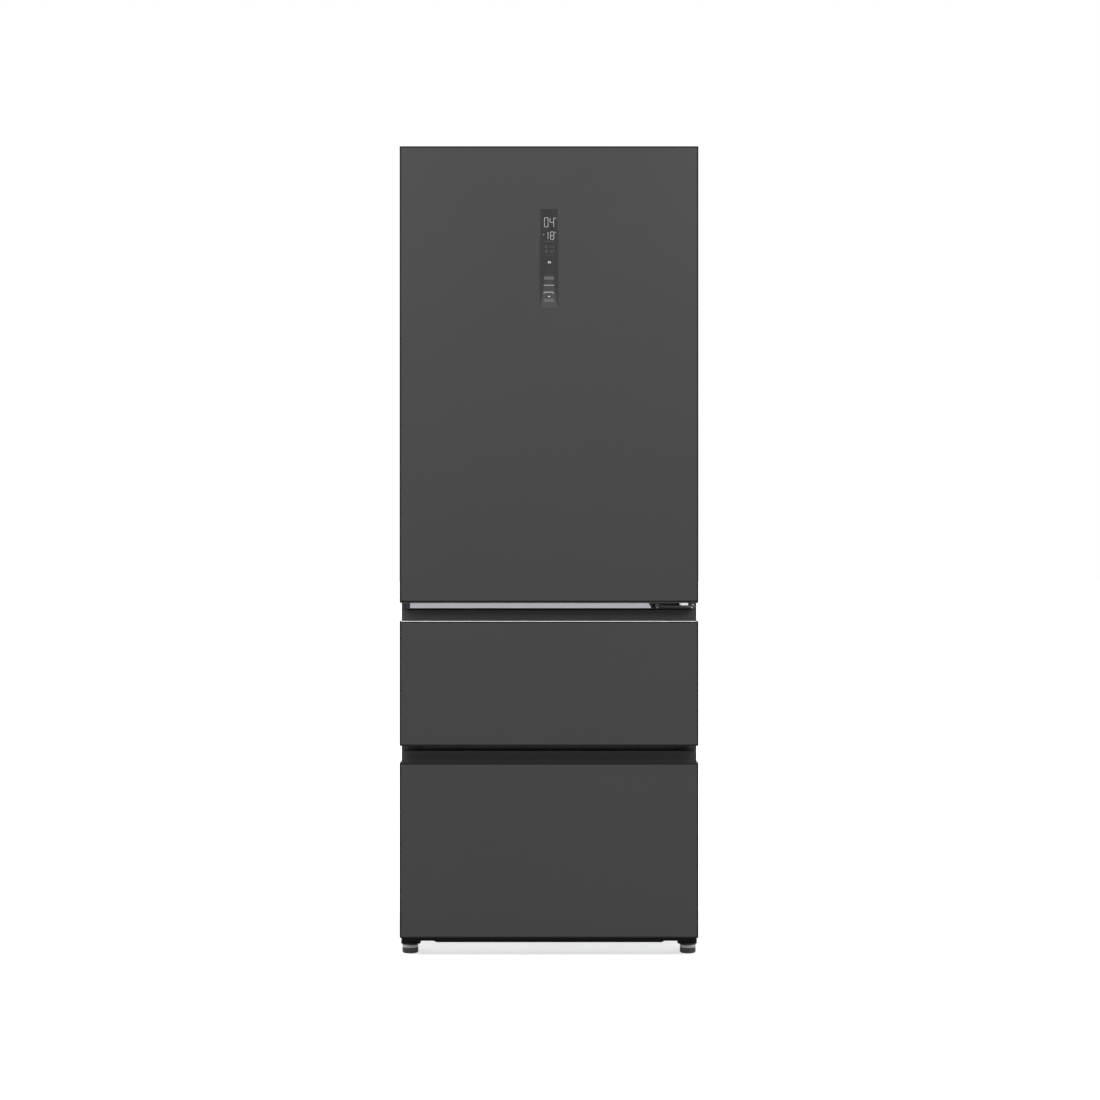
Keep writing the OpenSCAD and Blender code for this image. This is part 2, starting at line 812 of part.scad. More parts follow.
// Moulded cover over the top hinge's plate
module top_hinge_cover() {
  x0 = px - 84;
  x1 = xs - 4;
  y0 = yc + 1;
  y1 = yc + 72;
  t = 2;
  outer_r = 8;
  inner_r = 3;
  arm_in = 14;
  arm_out = 7;
  color(c_black) difference() {
    translate([0, 0, zt]) linear_extrude(cover_h) round_rect(x0, x1, y0, y1, outer_r);
    translate([0, 0, zt - 1]) linear_extrude(cover_h + 1 - t)
      round_rect(x0 + t, x1 - t, y0 + t, y1 - t, inner_r);
    slab(px - arm_in - seat_c, px + arm_out + seat_c, y0 - 1, y0 + t + 1, zt - 1, hub_z + seat_c);
  }
}

// A pan-head screw, its head above z
module screw(x, y, z, l) {
  head_r = screw_r + 2.5;
  crown_r = screw_r + 0.8;
  head_h = 1.6;
  crown_h = 1.4;
  cross_w = 1;
  cross_l = 6;
  cross_z = 2.4;
  translate([x, y, z - l]) cylinder(r = screw_r, h = l);
  translate([x, y, z]) difference() {
    union() {
      cylinder(r = head_r, h = head_h);
      translate([0, 0, head_h]) cylinder(r1 = head_r, r2 = crown_r, h = crown_h);
    }
    for (q = [[cross_w, cross_l, 2], [cross_l, cross_w, 2]])
      translate([0, 0, cross_z]) cube(q, center = true);
  }
}

module hinge_screws() {
  color(c_steel) {
    for (x = mid_screws) screw(x, yc - screw_in, mid_z + hinge_t, hinge_t + 3);
    for (p = top_screws) screw(p[0], p[1], hub_z, hinge_t);
  }
}

comp_y = yb - comp_r - 14;
comp_z = base_z + 2 + grommet_h;
dome = 30;
plate_t = 3.5;
bolt_r = 7;
weld_w = 7;
weld_h = 5;
weld_in = 4;
stub_pitch = 24;
stub_x = comp_x - comp_r - 9;
stub_z = comp_z + comp_h * 0.5 - 16;
grommet_at = [
  for (sx = [-1, 1], sy = [-1, 1]) [comp_x + sx * (plate_w / 2 - 16), comp_y + sy * (plate_d / 2 - 11)]
];

// Welded compressor shell with its weld flange, foot plate, terminal box and stubs
module compressor() {
  belt = comp_h * 0.5;
  color(c_black) {
    translate([comp_x, comp_y, comp_z]) {
      translate([0, 0, 3]) rotate_extrude() difference() {
        union() {
          translate([0, dome]) square([comp_r, comp_h - 2 * dome]);
          square([comp_r - dome, comp_h]);
          translate([comp_r - dome, dome]) circle(dome);
          translate([comp_r - dome, comp_h - dome]) circle(dome);
          translate([comp_r - weld_in, belt]) square([weld_w, weld_h]);
        }
        translate([-comp_r, -1]) square([comp_r, comp_h + 2]);
      }
      translate([comp_r * 0.7, -comp_r - 8, belt - 4 - term_h]) cube([comp_r * 0.55, comp_r, term_h]);
    }
    difference() {
      slab(comp_x - plate_w / 2, comp_x + plate_w / 2, comp_y - plate_d / 2, comp_y + plate_d / 2,
        comp_z, comp_z + plate_t);
      for (p = grommet_at) translate([p[0], p[1], comp_z - 1]) cylinder(r = bolt_r, h = plate_t + 2);
    }
    for (i = [-1:1]) translate([stub_x, comp_y + i * stub_pitch, stub_z])
      rotate([0, 90, 0]) cylinder(r = tube_r + 1.5, h = 14);
  }
}

module compressor_grommets() {
  collar_r = 12;
  barb = 2.5;
  barb_h = 4;
  color(c_rubber) for (p = grommet_at) translate([p[0], p[1], base_z + 2]) {
    cylinder(r = collar_r, h = grommet_h);
    cylinder(r = bolt_r - run_c, h = grommet_h + plate_t + 0.5);
    translate([0, 0, grommet_h + plate_t]) cylinder(r1 = bolt_r + barb, r2 = bolt_r, h = barb_h);
  }
}

tray_z0 = comp_z + 3 + comp_h + seat_c;

// Evaporation tray that sits on the compressor
module drip_tray() {
  t = 2;
  corner = 12;
  lean = 8;
  color(c_black) translate([comp_x, comp_y, 0]) difference() {
    bin_form(pan_w / 2, -pan_d / 2, pan_d / 2, tray_z0, tray_z0 + pan_h, lean, corner);
    bin_form(pan_w / 2 - t, -pan_d / 2 + t, pan_d / 2 - t, tray_z0 + t, tray_z0 + pan_h + 1, lean, corner - t);
  }
}

function unit(v) = v / norm(v);

// A path whose corners are rounded with arcs of radius r in n steps
function bent(pts, r, n) = [
  for (i = [0:len(pts) - 1])
    if (i == 0 || i == len(pts) - 1) pts[i]
    else let (
      a = unit(pts[i - 1] - pts[i]), b = unit(pts[i + 1] - pts[i]),
      half = acos(a * b) / 2, c = pts[i] + unit(a + b) * r / sin(half),
      s = pts[i] + a * r / tan(half) - c, e = pts[i] + b * r / tan(half) - c,
      whole = 180 - 2 * half
    )
      each [for (k = [0:n]) c + (s * sin(whole * (1 - k / n)) + e * sin(whole * k / n)) / sin(whole)]
];

function heading(p, i) = unit(p[min(i + 1, len(p) - 1)] - p[max(i - 1, 0)]);

function square_to(n, t) = unit(n - (n * t) * t);

// A tube of the given radius swept along a path, its section carried square to the path
module swept_tube(p, r, sides) {
  first = square_to(abs(heading(p, 0)[2]) < 0.8 ? [0, 0, 1] : [1, 0, 0], heading(p, 0));
  normals = [
    for (i = 0, n = first; i < len(p); i = i + 1, n = square_to(n, heading(p, min(i, len(p) - 1)))) n
  ];
  rings = [
    for (i = [0:len(p) - 1], k = [0:sides - 1])
      p[i] + r * (cos(k * 360 / sides) * normals[i] + sin(k * 360 / sides) * cross(heading(p, i), normals[i]))
  ];
  sides_at = [
    for (i = [0:len(p) - 2], k = [0:sides - 1]) let (m = (k + 1) % sides, a = i * sides, b = a + sides)
      each [[a + k, b + k, b + m], [a + k, b + m, a + m]]
  ];
  last = (len(p) - 1) * sides;
  ends = [
    for (k = [1:sides - 2]) each [[0, k, k + 1], [last, last + k + 1, last + k]]
  ];
  polyhedron(points = rings, faces = concat(sides_at, ends), convexity = 8);
}

coil_x0 = -xs + 40;
coil_x1 = coil_x0 + coil_l;
coil_z0 = base_z + 26;
coil_y = yb - 60;

// Serpentine condenser runs, one corner pair for each turn
coil_path = [
  for (i = [0:coil_n - 1]) let (
    z = coil_z0 + i * coil_step, right = i % 2 == 0
  )
    each [[right ? coil_x0 : coil_x1, coil_y, z], [right ? coil_x1 : coil_x0, coil_y, z]]
];

module refrigerant_pipes() {
  gap_x = stub_x - coil_x1;
  out_x = stub_x - gap_x * 0.45;
  up_x = stub_x - gap_x * 0.25;
  return_x = coil_x0 - 20;
  return_z = coil_z0 - 14;
  return_y = comp_y - stub_pitch;
  rear_y = comp_y - 30;
  fill_l = 16;
  clip_t = 2;
  clip_half = 12;
  color([0.72, 0.45, 0.3]) {
    swept_tube(bent(concat(
      [[stub_x, return_y, stub_z], [out_x, return_y, stub_z], [out_x, return_y, return_z],
       [return_x, return_y, return_z], [return_x, coil_y, return_z], [return_x, coil_y, coil_z0]],
      [for (i = [1:len(coil_path) - 1]) coil_path[i]]
    ), 9.5, 4), tube_r, 8);
    swept_tube(bent([
      [stub_x, comp_y, stub_z], [up_x, comp_y, stub_z], [up_x, comp_y, room1 - 40],
      [up_x, rear_y, room1 - 40], [up_x, rear_y, room1 - 2]
    ], 12, 4), tube_r, 8);
    translate([stub_x - fill_l, comp_y + stub_pitch, stub_z]) rotate([0, 90, 0])
      cylinder(r = tube_r, h = fill_l);
    for (x = [coil_x0 + 30, coil_x1 - 50]) difference() {
      slab(x, x + clip_t, coil_y - clip_half, coil_y + clip_half,
        base_z + 2, coil_z0 + coil_n * coil_step - 8);
      for (i = [0:coil_n - 1]) slab(x - 1, x + clip_t + 1, coil_y - tube_r - seat_c, coil_y + clip_half + 1,
        coil_z0 + i * coil_step - tube_r - seat_c, coil_z0 + i * coil_step + tube_r + seat_c);
      slab(x - 1, x + clip_t + 1, coil_y - 11, coil_y - 6, base_z + 6, base_z + 16);
    }
  }
}

// Mains cord gland in the machine room's roof edge
module cord_gland() {
  in = 90;
  down = 22;
  plate_x = 32;
  plate_z = 34;
  nose_r = 9;
  nose_l = 14;
  bore_r = 4;
  color(c_black) translate([-xs + in, yb - 1, room1 - down]) rotate([90, 0, 0]) difference() {
    union() {
      translate([-plate_x / 2, -14, 0]) cube([plate_x, plate_z, 3]);
      translate([0, 0, 2]) cylinder(r = nose_r, h = nose_l - 2);
    }
    translate([0, 0, -1]) cylinder(r = bore_r, h = nose_l + 6);
  }
}

duct_z0 = div1 + crisper_h + 40;

// Moulded air duct on the fridge's rear wall with louvred outlets
module air_duct() {
  d = 16;
  x = 95;
  z1 = top1 - 8;
  slope = 16;
  vent_h = 3;
  vent_tilt = -25;
  vent_w = 40;
  vent_in = 30;
  vent_pitch = 9;
  color(c_white) difference() {
    along_x(-x, x) polygon([
      [yw, duct_z0], [yw - d, duct_z0 + slope], [yw - d, z1 - slope], [yw, z1]
    ]);
    for (i = [0:shelf_n - 1], s = [-1, 1]) translate([s * (x - vent_in), yw - d, shelf_z[i] + shelf_step * 0.6])
      for (k = [-1:1]) translate([0, 0, k * vent_pitch]) rotate([vent_tilt, 0, 0])
        cube([vent_w, d, vent_h], center = true);
  }
}

module light_lens() {
  x = lamp_w / 2;
  y0 = yc + lamp_in;
  drop = 6;
  lean = 4;
  edge = 4;
  pitch = 12;
  groove = 2;
  groove_up = 0.6;
  ribs = floor((x - 10) / pitch);
  color([0.97, 0.97, 0.95]) difference() {
    along_y(y0, y0 + lamp_d)
      polygon([[-x, top1], [lean - x, top1 - drop], [x - lean, top1 - drop], [x, top1]]);
    for (i = [-ribs:ribs]) translate([i * pitch, 0, top1 - drop])
      slab(-groove / 2, groove / 2, y0 + edge, y0 + lamp_d - edge, -1, groove_up);
  }
}

shelf_x = xi - 2;
pocket = 4;

module shelf_glass() {
  color(c_clear) for (z = shelf_z) slab(
    -shelf_x + pocket + 0.2, shelf_x - pocket - 0.2, shelf_y0 + pocket + 0.2, shelf_y1 - pocket - 0.2,
    z + frame_h - glass_t - 2, z + frame_h - 2
  );
}

module shelf_frames() {
  r = frame_h / 2;
  color(c_grey) for (z = shelf_z) difference() {
    union() {
      slab(-shelf_x, shelf_x, shelf_y0 + r, shelf_y1, z, z + frame_h);
      along_x(-shelf_x, shelf_x) translate([shelf_y0 + r, z + r]) circle(r);
    }
    slab(-shelf_x + pocket, shelf_x - pocket, shelf_y0 + pocket, shelf_y1 - pocket,
      z + frame_h - glass_t - 2, z + frame_h - 2);
    slab(-shelf_x + frame_w, shelf_x - frame_w, shelf_y0 + frame_w, shelf_y1 - frame_w, z - 1, z + frame_h + 1);
    slab(-shelf_x + pocket + 2, shelf_x - pocket - 2, shelf_y0 + frame_w, shelf_y1 - pocket - 2,
      z + frame_h - 3, z + frame_h + 1);
  }
}

// A crisper drawer with a finger grip along its front rim
module crisper() {
  between = 6;
  beside = 14;
  half = (xi - between - beside) / 2;
  corner = 14;
  grip_w = half * 1.1;
  grip_d = 9;
  grip_r = 9;
  grip_down = 20;
  y0 = shelf_y0 + crisper_in;
  z1 = crisper_z0 + crisper_h;
  color(c_clear) translate([between + half, 0, 0]) {
    bin(half, y0, crisper_y1, crisper_z0 + seat_c, z1, 5, corner, 0);
    along_x(-grip_w / 2, grip_w / 2) difference() {
      translate([y0 - grip_d, z1 - grip_down + 1]) square([grip_d + bin_t - 0.5, grip_down - 1]);
      translate([y0 - 3, z1 - grip_down]) circle(r = grip_r);
    }
  }
}

module left_crisper() {
  mirror([1, 0, 0]) crisper();
}

module right_crisper() {
  crisper();
}

evap_z0 = hump_z + 50;
evap_z1 = evap_z0 + evap_h;
fan_z = evap_z1 + fan_r + 16;
fan_y = ye + 12;
evap_y = (ye + 3 + yw) / 2;
shaft_r = 2;
arm_x = fan_r + 11;
arm_half = 7;

// Finned evaporator: two rows of tubes through a stack of fins
module evaporator() {
  half = evap_w / 2;
  rows = 5;
  row_h = evap_h / rows;
  fin_t = 1;
  fin_d = 48;
  row_y = 11;
  row_r = 4;
  row_out = 12;
  turn = [6, 32, 10];
  ear_w = 12;
  color([0.82, 0.83, 0.85]) {
    for (i = [0:fin_n - 1])
      translate([-half + i * 2 * half / (fin_n - 1) - fin_t / 2, evap_y - fin_d / 2, evap_z0])
        cube([fin_t, fin_d, evap_z1 - evap_z0]);
    for (k = [0:rows - 1], s = [-1, 1]) translate([0, evap_y, evap_z0 + (k + 0.5) * row_h]) {
      translate([-half - row_out, s * row_y, 0]) rotate([0, 90, 0])
        cylinder(r = row_r, h = 2 * half + 2 * row_out);
      translate([s * (half + row_out), 0, 0]) cube(turn, center = true);
    }
    for (s = [-1, 1]) translate([s * half, 0, evap_z0])
      slab(-ear_w / 2, ear_w / 2, evap_y + 20, yw, 60, 90);
  }
}

// Plastic cover in front of the evaporator with the fan's mouth and slots
module evaporator_cover() {
  t = 3;
  web = 3;
  ring_w = 2.5;
  slot_n = 6;
  slot_pitch = 36;
  slot_w = 24;
  slot_up = 22;
  slot_h = 8;
  color(c_white) difference() {
    slab(-xi + seat_c, xi - seat_c, ye, ye + t, hump_z + seat_c, div0 - seat_c);
    translate([0, ye - 1, fan_z]) rotate([-90, 0, 0]) difference() {
      cylinder(r = fan_r + 3, h = 2 * t);
      for (a = [0, 60, 120]) rotate([0, 0, a]) translate([-fan_r - 5, -web / 2, 0])
        cube([2 * fan_r + 10, web, 2 * t]);
      for (q = [14, 28]) difference() {
        cylinder(r = q + ring_w, h = 2 * t);
        translate([0, 0, -1]) cylinder(r = q, h = 2 * t + 2);
      }
    }
    for (i = [-slot_n:slot_n]) translate([i * slot_pitch, 0, hump_z + slot_up])
      slab(-slot_w / 2, slot_w / 2, ye - 1, ye + t + 1, 0, slot_h);
  }
}

module fan_motor() {
  y0 = fan_y + 22;
  can_r = 20;
  can_l = 20;
  arm_t = 3;
  post = 5;
  color(c_black) translate([0, 0, fan_z]) {
    difference() {
      union() {
        translate([0, y0, 0]) rotate([-90, 0, 0]) cylinder(r = can_r, h = can_l);
        slab(-arm_x - post, arm_x + post, y0, y0 + arm_t, -arm_half, arm_half);
      }
      translate([0, y0 - 1, 0]) rotate([-90, 0, 0]) cylinder(r = shaft_r + run_c, h = 16);
    }
    for (s = [-1, 1]) slab(s * arm_x - post, s * arm_x + post, ye + 3, y0, -arm_half, arm_half);
  }
}

module evaporator_fan() {
  hub_r = 14;
  hub_l = 18;
  shaft_l = 34;
  blade_w = 34;
  blade_t = 1.8;
  pitch_a = 32;
  color(c_white) translate([0, fan_y, fan_z]) rotate([-90, 0, 0]) {
    cylinder(r = hub_r, h = hub_l);
    cylinder(r = shaft_r, h = shaft_l);
    for (i = [0:blade_n - 1]) rotate([0, 0, i * 360 / blade_n]) intersection() {
      translate([fan_r / 2, 0, hub_l / 2]) rotate([pitch_a, 0, 0])
        cube([fan_r, blade_w, blade_t], center = true);
      cylinder(r = fan_r, h = hub_l);
    }
  }
}

module upper_fixed_rails() {
  color(c_steel) fixed_rails(upper_rail_z);
}

module lower_fixed_rails() {
  color(c_steel) fixed_rails(lower_rail_z);
}

module door_skin() {
  z = zd1 - display_top;
  color(c_front) difference() {
    front_skin(zd0, zd1, true);
    along_y(yf - 1, yf + skin_t + 1)
      round_rect(-display_w / 2 - 0.2, display_w / 2 + 0.2, z - display_h - 0.2, z + 0.2, 2.2);
    slab(xs - 4, xs + 1, yf + 3, yf + return_d + 1, notch_z, zd1 + 1);
  }
}

// Cap along the door's top with the notch for the hinge arm and the pin's hole
module door_top_cap() {
  arm_in = 17;
  color(c_black) difference() {
    union() {
      inside_skin(yd - liner_t, zd1 - cap_h, zd1 - skin_t, 0, edge_r);
      intersection() {
        inside_skin(yd - liner_t, zd1 - cap_h, zd1, 0, 0);
        slab(-xs, xs, yf + fold_d, yd, zd1 - 3, zd1);
      }
    }
    slab(px - arm_in, xs + 1, yf + 3, yd + 1, notch_z, zd1 - skin_t);
    slab(px - arm_in, xs + 1, yf + fold_d, yd + 1, zd1 - 2, zd1 + 1);
    translate([px, py, zd1 - cap_h - 1]) cylinder(r = pin_r + 2 + run_c, h = cap_h);
  }
}

// Cap along the door's foot with the pull channel and the rear flange
module door_bottom_cap() {
  y0 = yf + lip_t;
  y1 = y0 + channel_t;
  r = 8;
  color(c_black) difference() {
    union() {
      inside_skin(yd - liner_t, zd0 + skin_t, zd0 + cap_h, edge_r, 0);
      intersection() {
        inside_skin(yd - liner_t, zd0 - rim_h, zd0 + cap_h, 0, 0);
        union() {
          slab(-xs, xs, yf + edge_r, yf + fold_d, zd0 - rim_h, zd0);
          slab(-xs, xs, yf + fold_d, yd, zd0 - rim_h, zd0 + 3);
        }
      }
      slab(-strip_left - 12, strip_right + 2, y1 + strip_t, yd, zd0 - flange_drop, zd0 + 3);
    }
    along_x(-strip_left, strip_right) union() {
      translate([y0, zd0 - rim_h - 1]) square([channel_t + strip_t, channel_up / 2 + rim_h + 1]);
      for (y = [y0 + r, y1 - r]) translate([y, zd0 + channel_up - r]) circle(r);
      translate([y0, zd0]) square([channel_t, channel_up - r]);
      translate([y0 + r, zd0]) square([channel_t - 2 * r, channel_up]);
    }
    translate([px, py, zd0 - rim_h - 1]) cylinder(r = pin_r + 4 + run_c, h = pin_l + rim_h + 1);
  }
}

// Bright strip on the flange behind the pull channel, its right end slanted
module grip_strip() {
  y1 = yf + lip_t + channel_t;
  z0 = zd0 - flange_drop + 1.3;
  color([0.68, 0.67, 0.7]) intersection() {
    slab(-strip_left, strip_right, y1, y1 + strip_t, z0, zd0 + channel_up / 2);
    along_y(y1, y1 + strip_t) polygon([
      [-strip_left, z0], [strip_right, z0], [strip_right - strip_slant, z0 + strip_h],
      [-strip_left, z0 + strip_h]
    ]);
  }
}

board_t = 11;

module door_foam() {
  z = zd1 - display_top;
  color(c_foam) difference() {
    inside_skin(yd - liner_t, zd0 + cap_h, zd1 - cap_h, 0, 0, liner_t);
    slab(-display_w / 2 - 1, display_w / 2 + 1, yf, yf + lens_t + board_t, z - display_h - 1, z + 1);
  }
}

dyke_x = xi - 35;
dyke_w = 18;
dyke_d = 88;
bin_z0 = div1 + 30;
bin_n = 1 + floor((top1 - bin_z0 - bin_h - 30) / bin_step);

// Inner door liner: a panel folded forward at its sides and out behind the skin's returns, with two
// upright dykes that carry the bins
module door_liner() {
  y = yd - liner_t;
  yr = yf + return_d;
  xr = xs - rear_inset;
  color(c_white) {
    slab(-xr, xr, y, yd, zd0 + 3, zd1 - 24);
    both_sides() {
      translate([0, 0, zd0 + cap_h]) linear_extrude(zd1 - zd0 - 2 * cap_h) polygon([
        [xr - liner_t, y], [xr - liner_t, yr - liner_t], [xs - skin_t, yr - liner_t], [xs - skin_t, yr],
        [xr, yr], [xr, y]
      ]);
      along_y_taper(dyke_x, dyke_x + dyke_w, yd, yd + dyke_d, bin_z0 - 20, top1 - 20);
      for (i = [0:bin_n - 1]) translate([0, 0, bin_z0 + i * bin_step])
        slab(dyke_x - 8, dyke_x, yd, yd + 60, -8, 0);
    }
  }
}

// An upright ridge with sloped ends and a narrowed crest
module along_y_taper(x0, x1, y0, y1, z0, z1) {
  intersection() {
    along_x(x0, x1) polygon([[y0, z0], [y1, z0 + 30], [y1, z1 - 30], [y0, z1]]);
    translate([0, 0, z0]) linear_extrude(z1 - z0) polygon([
      [x0, y0], [x1, y0], [x1, y1 - 6], [x1 - 4, y1], [x0 + 3, y1], [x0, y1 - 4]
    ]);
  }
}

module door_gasket() {
  color(c_rubber) gasket(div1, top1);
}

module display_lens() {
  z = zd1 - display_top;
  color([0.05, 0.05, 0.06]) along_y(yf, yf + lens_t)
    round_rect(-display_w / 2, display_w / 2, z - display_h, z, 2);
}

module display_board() {
  z = zd1 - display_top;
  color([0.1, 0.35, 0.2]) {
    slab(-display_w / 2, display_w / 2, yf + lens_t, yf + lens_t + 2, z - display_h, z);
    for (i = [0:3]) slab(-12, 12, yf + lens_t + 2, yf + lens_t + board_t - 1, z - 50 - i * 50, z - 24 - i * 50);
  }
}

// Block of a door bin, its face sloped outwards
module bin_block(x, y0, y1, z0, z1, r) {
  intersection() {
    translate([0, 0, z0]) linear_extrude(z1 - z0) round_rect(-x, x, y0, y1, r);
    along_x(-x, x) polygon([[y0, z0], [y1 - 10, z0], [y1, z1], [y0, z1]]);
  }
}

module door_bins() {
  x = dyke_x - 3;
  y0 = yd + seat_c;
  y1 = yd + bin_d;
  color(c_clear) for (i = [0:bin_n - 1]) translate([0, 0, bin_z0 + i * bin_step + seat_c]) {
    difference() {
      bin_block(x, y0, y1, 0, bin_h, 18);
      bin_block(x - bin_t, y0 + bin_t, y1 - bin_t, bin_t, bin_h + 1, 18 - bin_t);
    }
    slab(-x + 17, x - 17, y1 - 4, y1 + 2, bin_h - 9, bin_h);
  }
}

// Bushes of the door on the two hinge pins; the lower one has the white flange
module hinge_bushes() {
  color([0.95, 0.95, 0.93]) {
    translate([px, py, bush_z]) difference() {
      union() {
        cylinder(r = bush_r, h = bush_h + bush_gap - 2 * seat_c);
        cylinder(r = pin_r + 4, h = zd0 + pin_l - bush_z);
      }
      translate([0, 0, -1]) cylinder(r = pin_r + run_c, h = pin_l + 20);
    }
    translate([px, py, zd1 - cap_h]) difference() {
      cylinder(r = pin_r + 2, h = notch_z - zd1 + cap_h);
      translate([0, 0, -1]) cylinder(r = pin_r + run_c, h = cap_h);
    }
  }
}

module upper_skin() {
  color(c_front) front_skin(zu0, zu1, false);
}

module upper_grip() {
  color(c_black) drawer_grip(zu1);
}

module upper_inner_panel() {
  color(c_white) drawer_panel(zu0, zu1);
}

module upper_gasket() {
  color(c_rubber) gasket(rail1, div0);
}

rim = 3.5;
bin_x = runner_x - rim;

module upper_bin() {
  z1 = upper_rail_z + upper_bin_up;
  color(c_clear) bin(bin_x - 1, yd + 2 + seat_c, upper_bin_y1, z1 - upper_bin_h, z1, 7, 20, rim + 0.5);
}

module upper_inner_rails() {
  color(c_steel) inner_rails(upper_rail_z, upper_rail_z - 20, upper_rail_z + upper_bin_up - bin_t - seat_c, 0);
}

module upper_middle_rails() {
  color(c_steel) middle_rails(upper_rail_z);
}

module lower_skin() {
  color(c_front) front_skin(zl0, zl1, false);
}

module lower_grip() {
  color(c_black) drawer_grip(zl1);
}

module lower_inner_panel() {
  color(c_white) drawer_panel(zl0, zl1);
}

module lower_gasket() {
  color(c_rubber) gasket(low0, rail0);
}

lower_bin_z1 = lower_rail_z - inner_half - 22;
tray_z1 = lower_rail_z + fixed_half + 5;

module lower_bin() {
  x = runner_x - 16;
  color(c_clear) bin(x, yd + 2 + seat_c, lower_bin_y1, lower_bin_z1 - lower_bin_h, lower_bin_z1, 7, 20, 12);
}

module lower_inner_rails() {
  color(c_steel) inner_rails(
    lower_rail_z, lower_bin_z1 - bin_t - seat_c - 2, tray_z1 - bin_t - seat_c, lower_bin_z1 - bin_t - seat_c
  );
}

module lower_middle_rails() {
  color(c_steel) middle_rails(lower_rail_z);
}

module lower_tray() {
  color(c_clear) bin(
    runner_x - 4, yd + 6, tray_y1, tray_z1 - tray_h, tray_z1, 4, 16, 3.7
  );
}

outer_shell();
back_panel();
base_pan();
cabinet_foam();
fridge_liner();
freezer_liner();
crossrail();
plinth();
base_brackets();
mid_hinge();
top_hinge();
top_hinge_cover();
hinge_screws();
compressor();
compressor_grommets();
drip_tray();
refrigerant_pipes();
cord_gland();
air_duct();
light_lens();
shelf_glass();
shelf_frames();
evaporator();
evaporator_cover();
fan_motor();
evaporator_fan();
upper_fixed_rails();
lower_fixed_rails();
door_skin();
door_top_cap();
door_bottom_cap();
grip_strip();
door_foam();
door_liner();
door_gasket();
display_lens();
display_board();
door_bins();
hinge_bushes();
upper_skin();
upper_grip();
upper_inner_panel();
upper_gasket();
upper_bin();
upper_inner_rails();
upper_middle_rails();
lower_skin();
lower_grip();
lower_inner_panel();
lower_gasket();
lower_bin();
lower_inner_rails();
lower_middle_rails();
lower_tray();
left_crisper();
right_crisper();
left_foot();
right_foot();
left_roller();
right_roller();
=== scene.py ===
"""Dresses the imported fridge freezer: finishes for its CAD parts, and finer pieces for some of them.

Lengths are in metres, in the frame's own axes: +Z up, and the fronts face -Y.
"""
import json
import math

import bpy
import numpy as np
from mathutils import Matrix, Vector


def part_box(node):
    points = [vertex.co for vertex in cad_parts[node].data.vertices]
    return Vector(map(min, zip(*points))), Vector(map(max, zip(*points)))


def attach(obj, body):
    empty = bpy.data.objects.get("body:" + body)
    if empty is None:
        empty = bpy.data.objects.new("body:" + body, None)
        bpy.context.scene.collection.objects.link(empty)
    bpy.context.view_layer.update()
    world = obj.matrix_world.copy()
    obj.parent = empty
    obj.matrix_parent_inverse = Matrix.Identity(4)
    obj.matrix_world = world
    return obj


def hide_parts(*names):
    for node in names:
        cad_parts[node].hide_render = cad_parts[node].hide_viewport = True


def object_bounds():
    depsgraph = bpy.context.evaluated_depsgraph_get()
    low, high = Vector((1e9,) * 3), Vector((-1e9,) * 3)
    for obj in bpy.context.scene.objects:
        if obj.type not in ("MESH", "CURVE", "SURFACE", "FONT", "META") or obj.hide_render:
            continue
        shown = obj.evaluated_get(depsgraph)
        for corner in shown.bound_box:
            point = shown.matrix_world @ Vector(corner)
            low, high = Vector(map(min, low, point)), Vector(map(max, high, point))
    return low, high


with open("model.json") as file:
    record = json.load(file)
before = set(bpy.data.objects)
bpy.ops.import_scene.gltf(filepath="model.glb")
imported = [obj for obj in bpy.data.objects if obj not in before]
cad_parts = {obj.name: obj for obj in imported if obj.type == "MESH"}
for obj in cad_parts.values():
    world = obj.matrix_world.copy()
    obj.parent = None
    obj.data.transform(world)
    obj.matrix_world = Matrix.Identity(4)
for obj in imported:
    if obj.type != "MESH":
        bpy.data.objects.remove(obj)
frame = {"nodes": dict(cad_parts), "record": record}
CAD_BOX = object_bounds()

bl_info = {
    "name": "Fridge freezer dressing",
    "version": (1, 0, 0),
    "blender": (4, 5, 0),
    "location": "View3D > Sidebar > Fridge",
    "description": "Finishes and fine pieces for a tall fridge freezer with two freezer drawers",
    "category": "Object",
}

MM = 0.001
TURN = 2 * math.pi
QUARTER = math.pi / 2
SLOT_OF = {row["node"]: row["material_slot"] for row in frame["record"]["subparts"]}
# Material of each slot, filled in by the first operator
FINISH = {}


# Settings


def number(name, description, default, low, high, **unit):
    """Setting with its limits, and a unit where one fits."""
    return bpy.props.FloatProperty(
        name=name, description=description, default=default, min=low, max=high, **unit)


def length(*words_and_limits):
    """Setting in metres."""
    return number(*words_and_limits, unit="LENGTH")


def count(name, description, default, low, high):
    """Setting in whole numbers."""
    return bpy.props.IntProperty(name=name, description=description, default=default, min=low, max=high)


def tint(name, description, default):
    """Setting of a colour."""
    return bpy.props.FloatVectorProperty(
        name=name, description=description, subtype="COLOR", default=default, min=0, max=1)


# Surfaces


def quads(rows, cols, wrap_rows=False, wrap_cols=False):
    """Faces of a grid of points stored row by row; wrapping joins the last row or column to the first."""
    r = np.arange(rows if wrap_rows else rows - 1)[:, None]
    c = np.arange(cols if wrap_cols else cols - 1)[None, :]
    r1, c1 = (r + 1) % rows, (c + 1) % cols
    return np.stack([r * cols + c, r * cols + c1, r1 * cols + c1, r1 * cols + c], -1).reshape(-1, 4)


